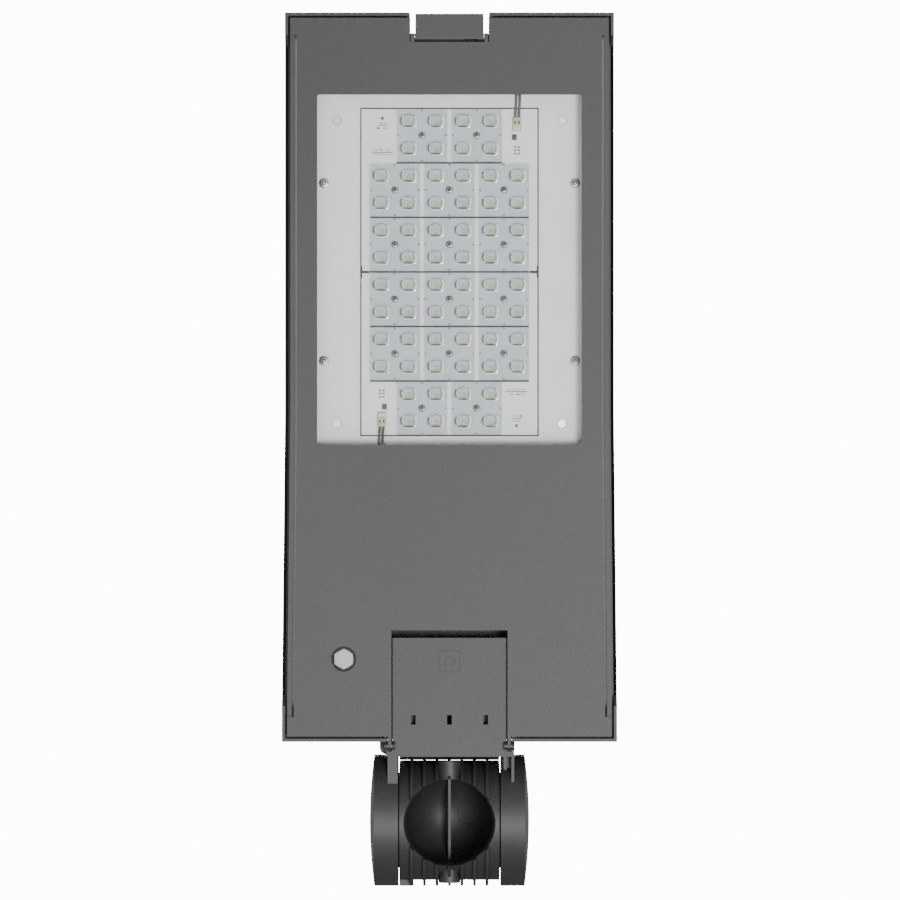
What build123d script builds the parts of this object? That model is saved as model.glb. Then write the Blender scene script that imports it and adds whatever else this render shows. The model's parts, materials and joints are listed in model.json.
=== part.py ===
from build123d import *
import os
from math import atan, degrees, sqrt

os.makedirs("parts", exist_ok=True)

# Street lamp head on a tilting pole knuckle, in millimetres.
# Origin: the tilt axis (X) crosses the pole axis (Z).  The nose points to -Y, light leaves to -Z.

# ---- housing -------------------------------------------------------------
NOSE_WIDTH = 303.0        # outside width over the front half
REAR_WIDTH = 308.6        # outside width at the rear, where the sides flare
NOSE_Y = -746.0           # front face
REAR_Y = -75.0            # rear face
FLARE_START_Y = -380.0
FLARE_END_Y = -113.0
TOP_Z = 36.0              # outer face of the roof
RIM_Z = -56.0             # lower edge of the skirt
WALL = 3.0
ROOF_ROUND = 9.0
RIM_CUT_Z = -46.0         # lower edge of the skirt between its corners
RIM_CORNER_NOSE = 21.0    # length of the full-depth skirt at the nose
RIM_CORNER_REAR = 33.0
RIM_TAPER = 10.0
RIM_EDGE = 0.4            # what the bevel leaves of the skirt's edge
RIM_BEVEL = 8.0
NOTCH_WIDTH = 73.0
NOTCH_DEPTH = 19.0

# ---- seal between housing and door ---------------------------------------
LEDGE_Z = -43.0
LEDGE_THICK = 3.0
LEDGE_WIDTH = 12.5
SEAL_INSET = 9.5
SEAL_WIDTH = 5.0
SEAL_GAP = 0.3

# ---- door ----------------------------------------------------------------
DOOR_GAP = 1.9            # between the skirt and the edge of the door
DOOR_Z = -55.0            # outer face
DOOR_THICK = 4.0
STRIP_WIDTH = 6.2
STRIP_DEPTH = 2.0
INNER_CLEAR = 1.0         # inner walls stop this far above the door
WINDOW_WIDTH = 243.5
WINDOW_LENGTH = 322.5
WINDOW_Y = -509.4
WINDOW_ROUND = 2.0
GLASS_THICK = 4.0
GLASS_LAP = 5.2
GLASS_SEAL = 0.8
SEAL_BAND = 1.2
CLIP_WIDTH = 16.0
CLIP_FOOT = 7.4
CLIP_THICK = 1.5
CLIP_SCREW_R = 1.75

# ---- neck and its pocket -------------------------------------------------
CUTOUT_WIDTH = 106.8      # opening of the door around the neck
CUTOUT_FRONT_Y = -177.6
NECK_WIDTH = 104.8
NECK_FRONT_Y = -170.5
NECK_END_Y = -61.0
NECK_Z = -49.0
NECK_TOP_Z = -5.0
NECK_WALL = 4.0
POCKET_HALF = 57.5
COLLAR_HALF = 58.0        # the neck widens behind the housing
COLLAR_Y = -74.5
SLOT_PITCH = 33.3
SLOT_WIDTH = 4.3
SLOT_LENGTH = 8.7
SLOT_Y = -95.0
BADGE_SIZE = 19.5
BADGE_Y = -149.5
BADGE_GROOVE = 0.9
BADGE_DEPTH = 0.8
YOKE_BOLT_R = 4.0
YOKE_BOLT_X = 38.0
YOKE_BOLT_Y = (-152.0, -96.0)
YOKE_BOLT_DEPTH = 24.0

# The webs that join the neck to the discs: X, Y, and depth above the underside.
NECK_WEBS = [
    ((-57.0, -47.8), (NECK_END_Y, -36.0), 0.0), ((49.9, 52.6), (NECK_END_Y, -49.0), 0.0),
    ((57.0, 59.7), (COLLAR_Y, -37.5), 0.0), ((48.0, 59.7), (NECK_END_Y, -44.0), 14.0),
]
GUSSET = ((-64.5, -57.0), (COLLAR_Y, -62.5), (-32.0, -10.0))

# ---- knuckle -------------------------------------------------------------
DRUM_R = 61.0
CORE_R = 55.5
DRUM_HALF = 46.3
FIN_PITCH = 11.6
FIN_COUNT = 7
FIN_THICK = 2.7
SWEEP_GAP = 1.5           # between the drum and the hollow end of the neck
GUARD_THICK = 2.5         # curved guard over the back of the drum
GUARD_TOP_Z = 31.0
BORE_R = 40.0             # takes a 76 mm pole top
MOUTH_R = 43.7
MOUTH_Z = -46.0
DOME_Z = 8.0
STOP_RIB_Z = 20.0
STOP_RIB_THICK = 2.5
KNOCKOUT_R = 11.0
KNOCKOUT_X = 18.0
KNOCKOUT_Y = -4.6
KNOCKOUT_GAP = 0.25
KNOCKOUT_LEDGE = 1.5      # the plug stops against a ledge in the wall
KNOCKOUT_LEDGE_Z = 51.0
CLAMP_SCREW_R = 5.0
CLAMP_BOSS_R = 10.0
CLAMP_Z = (-24.0, 4.0)
CLAMP_END_Y = 56.5
WASHER_THICK = 1.0
WASHER_R = (23.0, 44.0)
CHEEK_FACE = DRUM_HALF + WASHER_THICK
CHEEK_END = 67.0
CAP_END = 73.9
CAP_RIM = 2.7
CAP_WALL = 2.5
JOURNAL_R = 20.0
JOURNAL_FIT = 0.06
JOURNAL_SEAT = 2.7
FLANGE_X = 60.0
FLANGE_THICK = 4.0
FLANGE_R = 30.0
RECESS_R = 31.0
PIVOT_SCREW_R = 3.0
PIVOT_SCREW_HEAD_R = 5.0
PIVOT_SCREW_AT = (12.0, 8.0)
PIVOT_SCREW_END = 41.0

# ---- door hinge ----------------------------------------------------------
HINGE_Y = -71.0
HINGE_Z = -51.0
HINGE_PIN_R = 2.0
HINGE_FIT = 0.05
EYE_R = 4.2
TONGUE_X = (53.4, 56.6)
HINGE_SLOT_X = (52.9, 57.1)
LUG_X = (50.0, 60.0)
LUG_R = 4.0

# ---- vent ----------------------------------------------------------------
VENT_AT = (-97.3, -151.3)
VENT_RECESS_R = 11.6
VENT_RECESS = 1.5
VENT_THREAD_R = 6.0
VENT_FLATS = 17.0
VENT_HEAD = (0.8, 4.6)    # from the floor of its recess
VENT_HOLE_R = 2.2

# ---- latch ---------------------------------------------------------------
LATCH_WIDTH = 63.0
LATCH_NOSE_Y = -745.0
LATCH_PIN_Y = -723.0
LATCH_PIN_Z = -51.4
LATCH_PIN_R = 1.5
LATCH_FIT = 0.05
BARREL_R = 3.4
LATCH_PLATE = 3.0
EAR_WIDTH = 3.5
LATCH_POCKET_Y = (-727.0, -719.0)
LATCH_SIDE_GAP = 0.7
SPRING_X = (14.0, 26.0)
SPRING_R = (1.9, 2.9)
HOOK_HALF = 11.0
HOOK_ARM_Y = (-736.5, -733.0)
HOOK_BARB_Z = (-39.5, -35.5)
HOOK_TIP_Y = -729.9
STRIKER_HALF = 18.0
STRIKER_Z = (-44.0, -20.0)
STRIKER_LIP_Z = -41.0
STRIKER_LIP = 4.0
STRIKER_THICK = 1.5
STRIKER_SCREW = (12.0, -28.0, 2.0)

# ---- light unit ----------------------------------------------------------
LED_PITCH = 25.2
LED_Y = -508.0
MODULES_IN_ROW = (2, 3, 3, 3, 3, 2)
MODULE_SIZE = 49.6
MODULE_PLATE = 1.7
MODULE_STAND = 1.3
LENS_HEIGHT = 6.0
LENS_R = 9.2
LENS_HALF = (7.9, 6.6)
LED_SIZE = 3.5
LED_THICK = 0.9
BOARD_WIDTH = 164.0
BOARD_LENGTH = 150.8
BOARD_SPLIT = 1.0
BOARD_THICK = 1.6
SPREADER_Z = -26.0
SPREADER_THICK = 5.0
SPREADER_WIDTH = 250.0
SPREADER_LENGTH = 326.0
REFLECTOR_Z = -30.0
REFLECTOR_THICK = 1.5
REFLECTOR_WIDTH = 254.0
REFLECTOR_LENGTH = 330.0
REFLECTOR_GAP = 0.5
PLATE_SCREW_X = 116.0
PLATE_SCREW_Y = 82.0
PLATE_SCREW_R = 2.0
PILLAR_R = 6.5
PILLAR_X = 104.0
PILLAR_Y = 140.0
MODULE_SCREW_R = 1.5
CONNECTOR_AT = (62.4, 136.4)
CONNECTOR_SIZE = (7.8, 13.0, 5.4)
WIRE_R = 1.1
WIRE_GAP = 3.4
WIRE_CLEAR = 0.4          # round a wire in its hole
WIRE_DEPTH = 3.0          # of that hole
WIRE_END = 0.5            # what the wire leaves of it

# ---- battery and controller ----------------------------------------------
CELL_R = 16.2
CELL_LENGTH = 70.5
CELL_PITCH = 33.4
CELL_COLUMNS = 8
CELL_AXIS_Z = 0.0
BATTERY_FRONT_Y = -337.5
HOLDER_WALL = 2.0
HOLDER_DEPTH = 8.0
HOLDER_FIT = 0.2
TRAY_THICK = 2.0
TRAY_LENGTH = 151.0
TRAY_HALF = 146.3
TRAY_PILLAR_X = 141.0
TRAY_PILLAR_R = 4.5
TRAY_SCREW_R = 2.0
CASE_HALF = 75.0
CASE_FRONT_Y = -329.0
CASE_LENGTH = 94.0
CASE_HEIGHT = 22.0
CASE_FLANGE = 10.0
BMS_AT = (112.0, -280.0)
BMS_SIZE = (40.0, 80.0)
LEAD_R = 2.0

# ---- solar panel ---------------------------------------------------------
PANEL_WIDTH = 284.0
PANEL_LENGTH = 630.0
PANEL_Y = -408.0
FRAME_HEIGHT = 13.0
FRAME_RAIL = 10.0
FRAME_LIP = 5.0
FRAME_LIP_THICK = 1.4
PV_GLASS = 3.2
PV_CELL_THICK = 0.4
PV_BACK = 0.6
PV_COLUMNS = 4
PV_ROWS = 9
PV_CELL = (62.0, 65.0)
PV_GAP = 2.0
LAMINATE_FIT = 0.4
PANEL_SCREW_R = 2.5
BOX_AT = (100.0, -145.0)
BOX_SIZE = (44.0, 40.0, 15.0)
BOX_STUB_R = 8.0

DOOR_INNER_Z = DOOR_Z + DOOR_THICK
INNER_Z = DOOR_INNER_Z + INNER_CLEAR
ROOF_Z = TOP_Z - WALL
HINGE_AT = (HINGE_Y, HINGE_Z)


def block(x, y, z):
    """A box between two corners, each given as (low, high) along its axis."""
    size = [high - low for low, high in (x, y, z)]
    middle = [(high + low) / 2 for low, high in (x, y, z)]
    return Pos(*middle) * Box(*size)


def rod_x(radius, x0, x1, y=0.0, z=0.0):
    return Pos((x0 + x1) / 2, y, z) * Rot(0, 90, 0) * Cylinder(radius, abs(x1 - x0))


def rod_y(radius, y0, y1, x=0.0, z=0.0):
    return Pos(x, (y0 + y1) / 2, z) * Rot(90, 0, 0) * Cylinder(radius, abs(y1 - y0))


def rod_z(radius, z0, z1, x=0.0, y=0.0):
    return Pos(x, y, (z0 + z1) / 2) * Cylinder(radius, abs(z1 - z0))


def hexagon_z(across_flats, z0, z1, x=0.0, y=0.0, turn=0.0):
    side = across_flats / sqrt(3)
    profile = Rot(0, 0, turn) * RegularPolygon(side, 6)
    return Pos(x, y, z0) * extrude(profile, amount=z1 - z0)


def save(name, *solids):
    """Writes one node; several solids stay separate in it."""
    shape = solids[0] if len(solids) == 1 else Compound(children=[s for s in solids])
    export_step(shape, "parts/" + name + ".step")


def outline(inset):
    """Plan of the housing, moved in by inset."""
    nose = NOSE_WIDTH / 2 - inset
    rear = REAR_WIDTH / 2 - inset
    front_y = NOSE_Y + inset
    back_y = REAR_Y - inset
    points = [
        (-nose, front_y), (nose, front_y), (nose, FLARE_START_Y), (rear, FLARE_END_Y),
        (rear, back_y), (-rear, back_y), (-rear, FLARE_END_Y), (-nose, FLARE_START_Y),
    ]
    return make_face(Polyline(*points, close=True))


def slab(inset, z0, z1):
    return Pos(0, 0, z0) * extrude(outline(inset), amount=z1 - z0)


def notch_block(grow, z0, z1):
    half = NOTCH_WIDTH / 2 + grow
    return block((-half, half), (NOSE_Y - 5, NOSE_Y + NOTCH_DEPTH + grow), (z0, z1))


def pocket_block(grow, z0, z1):
    half = POCKET_HALF + grow
    return block((-half, half), (CUTOUT_FRONT_Y - grow, REAR_Y + 5), (z0, z1))


def inner_slab(inset, z0, z1):
    """The clear space inside the walls, moved in by inset from every outer face."""
    return slab(inset, z0, z1) - notch_block(inset, z0 - 1, z1 + 1) - pocket_block(inset, z0 - 1, z1 + 1)


def ring_slab(outer_inset, width, z0, z1):
    return inner_slab(outer_inset, z0, z1) - inner_slab(outer_inset + width, z0 - 1, z1 + 1)


def light_pillars():
    return [(sx * PILLAR_X, LED_Y + sy * PILLAR_Y) for sx in (-1, 1) for sy in (-1, 1)]


def tray_pillars():
    front = BATTERY_FRONT_Y + 6
    back = BATTERY_FRONT_Y + TRAY_LENGTH - 8
    return [(sx * TRAY_PILLAR_X, y) for sx in (-1, 1) for y in (front, back)]


def panel_screw_places():
    x = PANEL_WIDTH / 2 - FRAME_RAIL / 2
    reach = PANEL_LENGTH / 2 - 22
    return [(sx * x, PANEL_Y + step * reach) for sx in (-1, 1) for step in (-1, 0, 1)]


def yoke_bolt_places():
    return [(sx * YOKE_BOLT_X, y) for sx in (-1, 1) for y in YOKE_BOLT_Y]


def tray_z():
    return CELL_AXIS_Z - CELL_R - 0.8


# ---- head ----------------------------------------------------------------
def top_housing():
    shell = slab(0, RIM_Z, TOP_Z)
    roof_edges = shell.faces().sort_by(Axis.Z)[-1].edges()
    shell = fillet(roof_edges, ROOF_ROUND)
    shell -= notch_block(0, RIM_Z - 1, TOP_Z + 1)
    inside = slab(WALL, RIM_Z - 1, ROOF_Z)
    inside -= notch_block(WALL, RIM_Z - 2, TOP_Z)
    inside -= pocket_block(WALL, RIM_Z - 2, NECK_TOP_Z + WALL)
    shell -= inside
    shell -= slab(WALL, RIM_Z - 1, INNER_Z)
    shell -= pocket_block(0, RIM_Z - 1, NECK_TOP_Z)
    half_notch = NOTCH_WIDTH / 2 + WALL
    back_y = NOSE_Y + NOTCH_DEPTH + WALL + 0.1
    shell -= block((-half_notch, half_notch), (NOSE_Y + 5, back_y), (RIM_Z - 1, -46.5))
    shell -= rim_cut()
    shell += ring_slab(WALL, LEDGE_WIDTH, LEDGE_Z, LEDGE_Z + LEDGE_THICK)
    spreader_top = SPREADER_Z + SPREADER_THICK
    for x, y in light_pillars():
        shell += rod_z(PILLAR_R, spreader_top, ROOF_Z + 0.5, x, y)
        shell -= rod_z(PLATE_SCREW_R, spreader_top - 1, spreader_top + 14, x, y)
    for x, y in tray_pillars():
        shell += rod_z(TRAY_PILLAR_R, tray_z(), ROOF_Z + 0.5, x, y)
        shell -= rod_z(TRAY_SCREW_R, tray_z() - 1, tray_z() + 12, x, y)
    for x, y in panel_screw_places():
        shell -= rod_z(PANEL_SCREW_R, ROOF_Z - 1, TOP_Z + 1, x, y)
    for x, y in yoke_bolt_places():
        shell -= rod_z(YOKE_BOLT_R, NECK_TOP_Z - 1, NECK_TOP_Z + WALL + 1, x, y)
    shell -= rod_z(BOX_STUB_R, ROOF_Z - 1, TOP_Z + 1, *BOX_AT)
    for sx in (-1, 1):
        x, z, radius = STRIKER_SCREW
        wall_y = NOSE_Y + NOTCH_DEPTH
        shell -= rod_y(radius, wall_y - 1, wall_y + WALL + 1, sx * x, z)
    return shell


def rim_cut():
    """Raises the skirt between its corners and bevels it to a thin edge."""
    nose_end = NOSE_Y + RIM_CORNER_NOSE
    rear_end = REAR_Y - RIM_CORNER_REAR
    profile = make_face(Polyline(
        (nose_end, RIM_Z), (nose_end + RIM_TAPER, RIM_CUT_Z),
        (rear_end - RIM_TAPER, RIM_CUT_Z), (rear_end, RIM_Z),
        (rear_end, RIM_Z - 5), (nose_end, RIM_Z - 5), close=True))
    half = REAR_WIDTH / 2 + 5
    raised = extrude(Plane.YZ * profile, amount=half, both=True)
    taper = degrees(atan((WALL - RIM_EDGE) / RIM_BEVEL))
    bevel = Pos(0, 0, RIM_CUT_Z) * extrude(outline(RIM_EDGE), amount=RIM_BEVEL, taper=taper)
    bevel -= slab(WALL, RIM_CUT_Z - 1, RIM_CUT_Z + RIM_BEVEL + 1)
    zone = block((-half, half), (nose_end + RIM_TAPER, rear_end - RIM_TAPER), (RIM_CUT_Z - 1, RIM_CUT_Z + 20))
    return raised + (bevel & zone)


def cheek(side):
    disc = rod_x(DRUM_R, side * CHEEK_FACE, side * CHEEK_END)
    disc -= rod_x(JOURNAL_R + JOURNAL_FIT, side * (CHEEK_FACE - 1), side * (FLANGE_X + 1))
    disc -= rod_x(RECESS_R, side * FLANGE_X, side * (CHEEK_END + 1))
    return disc


def tilt_yoke():
    half = NECK_WIDTH / 2
    neck = block((-half, half), (NECK_FRONT_Y, COLLAR_Y), (NECK_Z, NECK_TOP_Z))
    neck += block((-COLLAR_HALF, COLLAR_HALF), (COLLAR_Y, NECK_END_Y), (NECK_Z, NECK_TOP_Z))
    inner = half - NECK_WALL
    inner_z = (NECK_Z + NECK_WALL, NECK_TOP_Z - NECK_WALL)
    neck -= block((-inner, inner), (NECK_FRONT_Y + NECK_WALL, NECK_END_Y + 1), inner_z)
    for x, y, depth in NECK_WEBS:
        neck += block(x, y, (NECK_Z + depth, NECK_TOP_Z))
    gusset = block(*GUSSET)
    corner = gusset.edges().filter_by(Axis.Z).sort_by(lambda e: e.center().X * 1.0 - e.center().Y)[0]
    neck += fillet(corner, 6.5)
    neck += cheek(-1) + cheek(1)
    neck -= rod_x(DRUM_R + SWEEP_GAP, -CHEEK_FACE, CHEEK_FACE)
    neck += drum_guard()
    for side in (-1, 1):
        neck = neck + hinge_lug(side)
        low, high = sorted((side * HINGE_SLOT_X[0], side * HINGE_SLOT_X[1]))
        neck -= block((low, high), (COLLAR_Y - 2, HINGE_Y + EYE_R + 1), (HINGE_Z - 6, HINGE_Z + EYE_R + 1.5))
        neck -= rod_x(HINGE_PIN_R, side * LUG_X[0], side * LUG_X[1], *HINGE_AT)
    for step in (-1, 0, 1):
        x = step * SLOT_PITCH
        neck -= block(
            (x - SLOT_WIDTH / 2, x + SLOT_WIDTH / 2), (SLOT_Y - SLOT_LENGTH / 2, SLOT_Y + SLOT_LENGTH / 2),
            (NECK_Z - 1, NECK_Z + NECK_WALL + 1))
    neck -= badge_groove()
    for x, y in yoke_bolt_places():
        neck += rod_z(YOKE_BOLT_R * 2, NECK_TOP_Z - YOKE_BOLT_DEPTH - 4, NECK_TOP_Z - NECK_WALL + 0.5, x, y)
        neck -= rod_z(YOKE_BOLT_R, NECK_TOP_Z - YOKE_BOLT_DEPTH, NECK_TOP_Z + 1, x, y)
    return neck


def drum_guard():
    inner = DRUM_R + SWEEP_GAP
    half = CHEEK_FACE - 0.8
    guard = rod_x(inner + GUARD_THICK, -half, half) - rod_x(inner, -half - 1, half + 1)
    return guard & block((-half, half), (-inner - GUARD_THICK - 1, 0), (NECK_TOP_Z - NECK_WALL, GUARD_TOP_Z))


def hinge_lug(side):
    low, high = sorted((side * LUG_X[0], side * LUG_X[1]))
    lug = block((low, high), (HINGE_Y - LUG_R + 0.5, HINGE_Y + LUG_R), (HINGE_Z, NECK_Z + 1))
    return lug + rod_x(LUG_R - 0.5, low, high, *HINGE_AT)


def badge_groove():
    """A plain square with a round sun in it, cut into the neck."""
    inner = BADGE_SIZE - 2 * BADGE_GROOVE
    frame = Rectangle(BADGE_SIZE, BADGE_SIZE) - Rectangle(inner, inner)
    sun = Circle(BADGE_SIZE / 4) - Circle(BADGE_SIZE / 4 - BADGE_GROOVE)
    return Pos(0, BADGE_Y, NECK_Z) * extrude(frame + sun, amount=BADGE_DEPTH, both=True)


def cheek_cap(side):
    bulge = CAP_END - CHEEK_END - CAP_RIM
    ball = (DRUM_R ** 2 + bulge ** 2) / (2 * bulge)
    cap = rod_x(DRUM_R, side * CHEEK_END, side * (CAP_END + 5))
    cap = cap & (Pos(side * (CAP_END - ball), 0, 0) * Sphere(ball))
    cap += rod_x(RECESS_R - 0.1, side * (FLANGE_X + FLANGE_THICK + 1), side * (CHEEK_END + 0.5))
    return cap - rod_x(RECESS_R - CAP_WALL, side * FLANGE_X, side * (CAP_END - CAP_WALL - 1))


def yoke_bolts():
    bolts = []
    for x, y in yoke_bolt_places():
        shank = rod_z(YOKE_BOLT_R, NECK_TOP_Z - YOKE_BOLT_DEPTH + 1, NECK_TOP_Z + WALL, x, y)
        head = hexagon_z(13.0, NECK_TOP_Z + WALL, NECK_TOP_Z + WALL + 5.3, x, y)
        bolts.append(shank + head)
    return bolts


def hinge_pins():
    return [rod_x(HINGE_PIN_R, side * LUG_X[0], side * LUG_X[1], *HINGE_AT) for side in (-1, 1)]


def latch_striker():
    wall_y = NOSE_Y + NOTCH_DEPTH
    plate = block((-STRIKER_HALF, STRIKER_HALF), (wall_y - STRIKER_THICK, wall_y), STRIKER_Z)
    lip_half = HOOK_HALF + 3
    lip = block((-lip_half, lip_half), (wall_y - STRIKER_LIP, wall_y), (STRIKER_Z[0], STRIKER_LIP_Z))
    x, z, radius = STRIKER_SCREW
    for sx in (-1, 1):
        plate -= rod_y(radius, wall_y - 5, wall_y + 1, sx * x, z)
    return plate + lip


def striker_screws():
    wall_y = NOSE_Y + NOTCH_DEPTH
    x, z, radius = STRIKER_SCREW
    screws = []
    for sx in (-1, 1):
        head = rod_y(radius * 1.9, wall_y - STRIKER_THICK - 2.4, wall_y - STRIKER_THICK, sx * x, z)
        shank = rod_y(radius, wall_y - STRIKER_THICK, wall_y + WALL + 2, sx * x, z)
        recess = rod_y(1.2, wall_y - STRIKER_THICK - 3, wall_y - STRIKER_THICK - 1, sx * x, z)
        screws.append(head + shank - recess)
    return screws


# ---- knuckle -------------------------------------------------------------
def drum_core():
    return rod_x(CORE_R, -DRUM_HALF, DRUM_HALF)


def bore_space():
    return rod_z(BORE_R, -DRUM_R - 2, DOME_Z) + Pos(0, 0, DOME_Z) * Sphere(BORE_R)


def spigot_socket():
    drum = drum_core()
    middle = (FIN_COUNT - 1) / 2
    for index in range(FIN_COUNT):
        x = (index - middle) * FIN_PITCH
        drum += rod_x(DRUM_R, x - FIN_THICK / 2, x + FIN_THICK / 2)
    first_fin = -middle * FIN_PITCH
    stop = block((-DRUM_HALF, first_fin), (CORE_R - 12, DRUM_R + 1), (-9.0, 9.0))
    drum += stop & rod_x(DRUM_R, -DRUM_HALF, DRUM_HALF)
    for z in CLAMP_Z:
        drum += rod_y(CLAMP_BOSS_R, BORE_R - 5, CLAMP_END_Y, 0, z)
    drum += rod_y(CLAMP_BOSS_R + 1, -CORE_R - 1, -BORE_R + 5, 0, -32.0)
    drum -= bore_space()
    drum -= Pos(0, 0, (MOUTH_Z - DRUM_R) / 2) * Cone(MOUTH_R, BORE_R, MOUTH_Z + DRUM_R)
    rib = block((-STOP_RIB_THICK / 2, STOP_RIB_THICK / 2), (-BORE_R, BORE_R), (STOP_RIB_Z, DRUM_R))
    drum += rib & (Pos(0, 0, DOME_Z) * Sphere(BORE_R + 1))
    drum -= knockout_shape(0.0, DRUM_R + 1)
    for z in CLAMP_Z:
        drum -= rod_y(CLAMP_SCREW_R, BORE_R - 6, CLAMP_END_Y + 1, 0, z)
    for side in (-1, 1):
        drum -= rod_x(JOURNAL_R, side * (DRUM_HALF - JOURNAL_SEAT), side * (DRUM_HALF + 1))
        for y, z in pivot_screw_places():
            drum -= rod_x(PIVOT_SCREW_R, side * PIVOT_SCREW_END, side * DRUM_HALF, y, z)
    return drum


def knockout_shape(gap, z1):
    at = (KNOCKOUT_X, KNOCKOUT_Y)
    shape = rod_z(KNOCKOUT_R - gap, STOP_RIB_Z, KNOCKOUT_LEDGE_Z, *at)
    return shape + rod_z(KNOCKOUT_R - KNOCKOUT_LEDGE - gap, KNOCKOUT_LEDGE_Z - 1, z1, *at)


def knockout_plug():
    plug = knockout_shape(KNOCKOUT_GAP, DRUM_R) & drum_core()
    return plug - Pos(0, 0, DOME_Z) * Sphere(BORE_R)


def pivot_screw_places():
    y, z = PIVOT_SCREW_AT
    return [(sy * y, sz * z) for sy in (-1, 1) for sz in (-1, 1)]


def pivot_plug(side):
    plug = rod_x(JOURNAL_R, side * (DRUM_HALF - JOURNAL_SEAT), side * (FLANGE_X + 0.5))
    plug += rod_x(FLANGE_R, side * FLANGE_X, side * (FLANGE_X + FLANGE_THICK))
    for y, z in pivot_screw_places():
        plug -= rod_x(PIVOT_SCREW_R, side * 40.0, side * (FLANGE_X + 6), y, z)
        plug -= rod_x(PIVOT_SCREW_HEAD_R, side * (FLANGE_X - 1), side * (FLANGE_X + 6), y, z)
    return plug


def pivot_screws():
    screws = []
    for side in (-1, 1):
        for y, z in pivot_screw_places():
            shank = rod_x(PIVOT_SCREW_R, side * PIVOT_SCREW_END, side * (FLANGE_X - 1), y, z)
            head_end = side * (FLANGE_X + FLANGE_THICK - 0.5)
            head = rod_x(PIVOT_SCREW_HEAD_R, side * (FLANGE_X - 1), head_end, y, z)
            socket = rod_x(2.0, side * (FLANGE_X + 0.5), side * (FLANGE_X + FLANGE_THICK), y, z)
            screws.append(shank + head - socket)
    return screws


def friction_washer(side):
    inner, outer = WASHER_R
    ring = rod_x(outer, side * DRUM_HALF, side * CHEEK_FACE)
    return ring - rod_x(inner, side * (DRUM_HALF - 1), side * (CHEEK_FACE + 1))


def clamp_screws():
    screws = []
    for z in CLAMP_Z:
        body = rod_y(CLAMP_SCREW_R, BORE_R + 0.3, CLAMP_END_Y, 0, z)
        body -= rod_y(2.5, CLAMP_END_Y - 6, CLAMP_END_Y + 1, 0, z)
        screws.append(body)
    return screws


# ---- door ----------------------------------------------------------------
def window_opening(grow, z0, z1):
    width = WINDOW_WIDTH + 2 * grow
    length = WINDOW_LENGTH + 2 * grow
    profile = RectangleRounded(width, length, WINDOW_ROUND)
    return Pos(0, WINDOW_Y, z0) * extrude(profile, amount=z1 - z0)


def clip_places():
    """Centre of each clip's foot with the quarter turn that faces its step to the glass."""
    side_x = WINDOW_WIDTH / 2 + GLASS_LAP + SEAL_BAND + 0.3 + CLIP_FOOT / 2
    end_y = WINDOW_LENGTH / 2 + GLASS_LAP + SEAL_BAND + 0.3 + CLIP_FOOT / 2
    places = [(side_x, WINDOW_Y + step * 105, 180) for step in (-1, 0, 1)]
    places += [(-side_x, WINDOW_Y + step * 105, 0) for step in (-1, 0, 1)]
    places += [(step * 80, WINDOW_Y - end_y, 90) for step in (-1, 1)]
    places += [(step * 80, WINDOW_Y + end_y, -90) for step in (-1, 1)]
    return places


def door_panel():
    edge = WALL + DOOR_GAP
    panel = slab(edge, DOOR_Z, DOOR_INNER_Z)
    panel -= window_opening(0, DOOR_Z - 1, DOOR_INNER_Z + 1)
    half_cut = CUTOUT_WIDTH / 2
    panel -= block((-half_cut, half_cut), (CUTOUT_FRONT_Y, REAR_Y + 5), (DOOR_Z - 1, DOOR_INNER_Z + 1))
    panel -= side_strips(edge)
    notch_half = NOTCH_WIDTH / 2
    low_y, high_y = LATCH_POCKET_Y
    panel -= block((-notch_half, notch_half), (NOSE_Y, low_y), (DOOR_Z - 1, DOOR_INNER_Z + 1))
    pocket_half = LATCH_WIDTH / 2 + LATCH_SIDE_GAP
    panel -= block((-pocket_half, pocket_half), (low_y - 1, high_y), (DOOR_Z - 1, DOOR_INNER_Z + 1))
    for side in (-1, 1):
        slit = sorted((side * (pocket_half + EAR_WIDTH), side * notch_half))
        panel -= block(slit, (low_y - 1, high_y), (DOOR_Z - 1, DOOR_INNER_Z + 1))
        ear = sorted((side * pocket_half, side * (pocket_half + EAR_WIDTH)))
        panel += block(ear, (low_y, high_y), (DOOR_Z, LATCH_PIN_Z + BARREL_R + 0.4))
        panel += tongue(side)
    pin_half = pocket_half + EAR_WIDTH
    panel -= rod_x(LATCH_PIN_R, -pin_half, pin_half, LATCH_PIN_Y, LATCH_PIN_Z)
    panel -= rod_z(VENT_RECESS_R, DOOR_Z - 1, DOOR_Z + VENT_RECESS, *VENT_AT)
    panel -= rod_z(VENT_THREAD_R, DOOR_Z - 1, DOOR_INNER_Z + 1, *VENT_AT)
    for x, y, _ in clip_places():
        panel += rod_z(3.6, DOOR_INNER_Z - 0.5, DOOR_INNER_Z + GLASS_SEAL + GLASS_THICK, x, y)
        panel -= rod_z(CLIP_SCREW_R, DOOR_INNER_Z - 2, DOOR_INNER_Z + 10, x, y)
    return panel


def side_strips(edge):
    """Bevelled steps along the two long edges of the door."""
    middle = Pos(0, 0, DOOR_Z) * extrude(outline(edge + STRIP_WIDTH), amount=STRIP_DEPTH, taper=-45)
    strips = slab(edge - 1, DOOR_Z - 1, DOOR_Z + STRIP_DEPTH) - middle
    strips -= slab(edge + STRIP_WIDTH, DOOR_Z - 2, DOOR_Z)
    low_y = NOSE_Y + RIM_CORNER_NOSE
    high_y = REAR_Y - RIM_CORNER_REAR + 10
    half = REAR_WIDTH / 2 + 5
    zone = block((-half, -half + 40), (low_y, high_y), (DOOR_Z - 2, DOOR_Z + 5))
    zone += block((half - 40, half), (low_y, high_y), (DOOR_Z - 2, DOOR_Z + 5))
    return strips & zone


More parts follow.
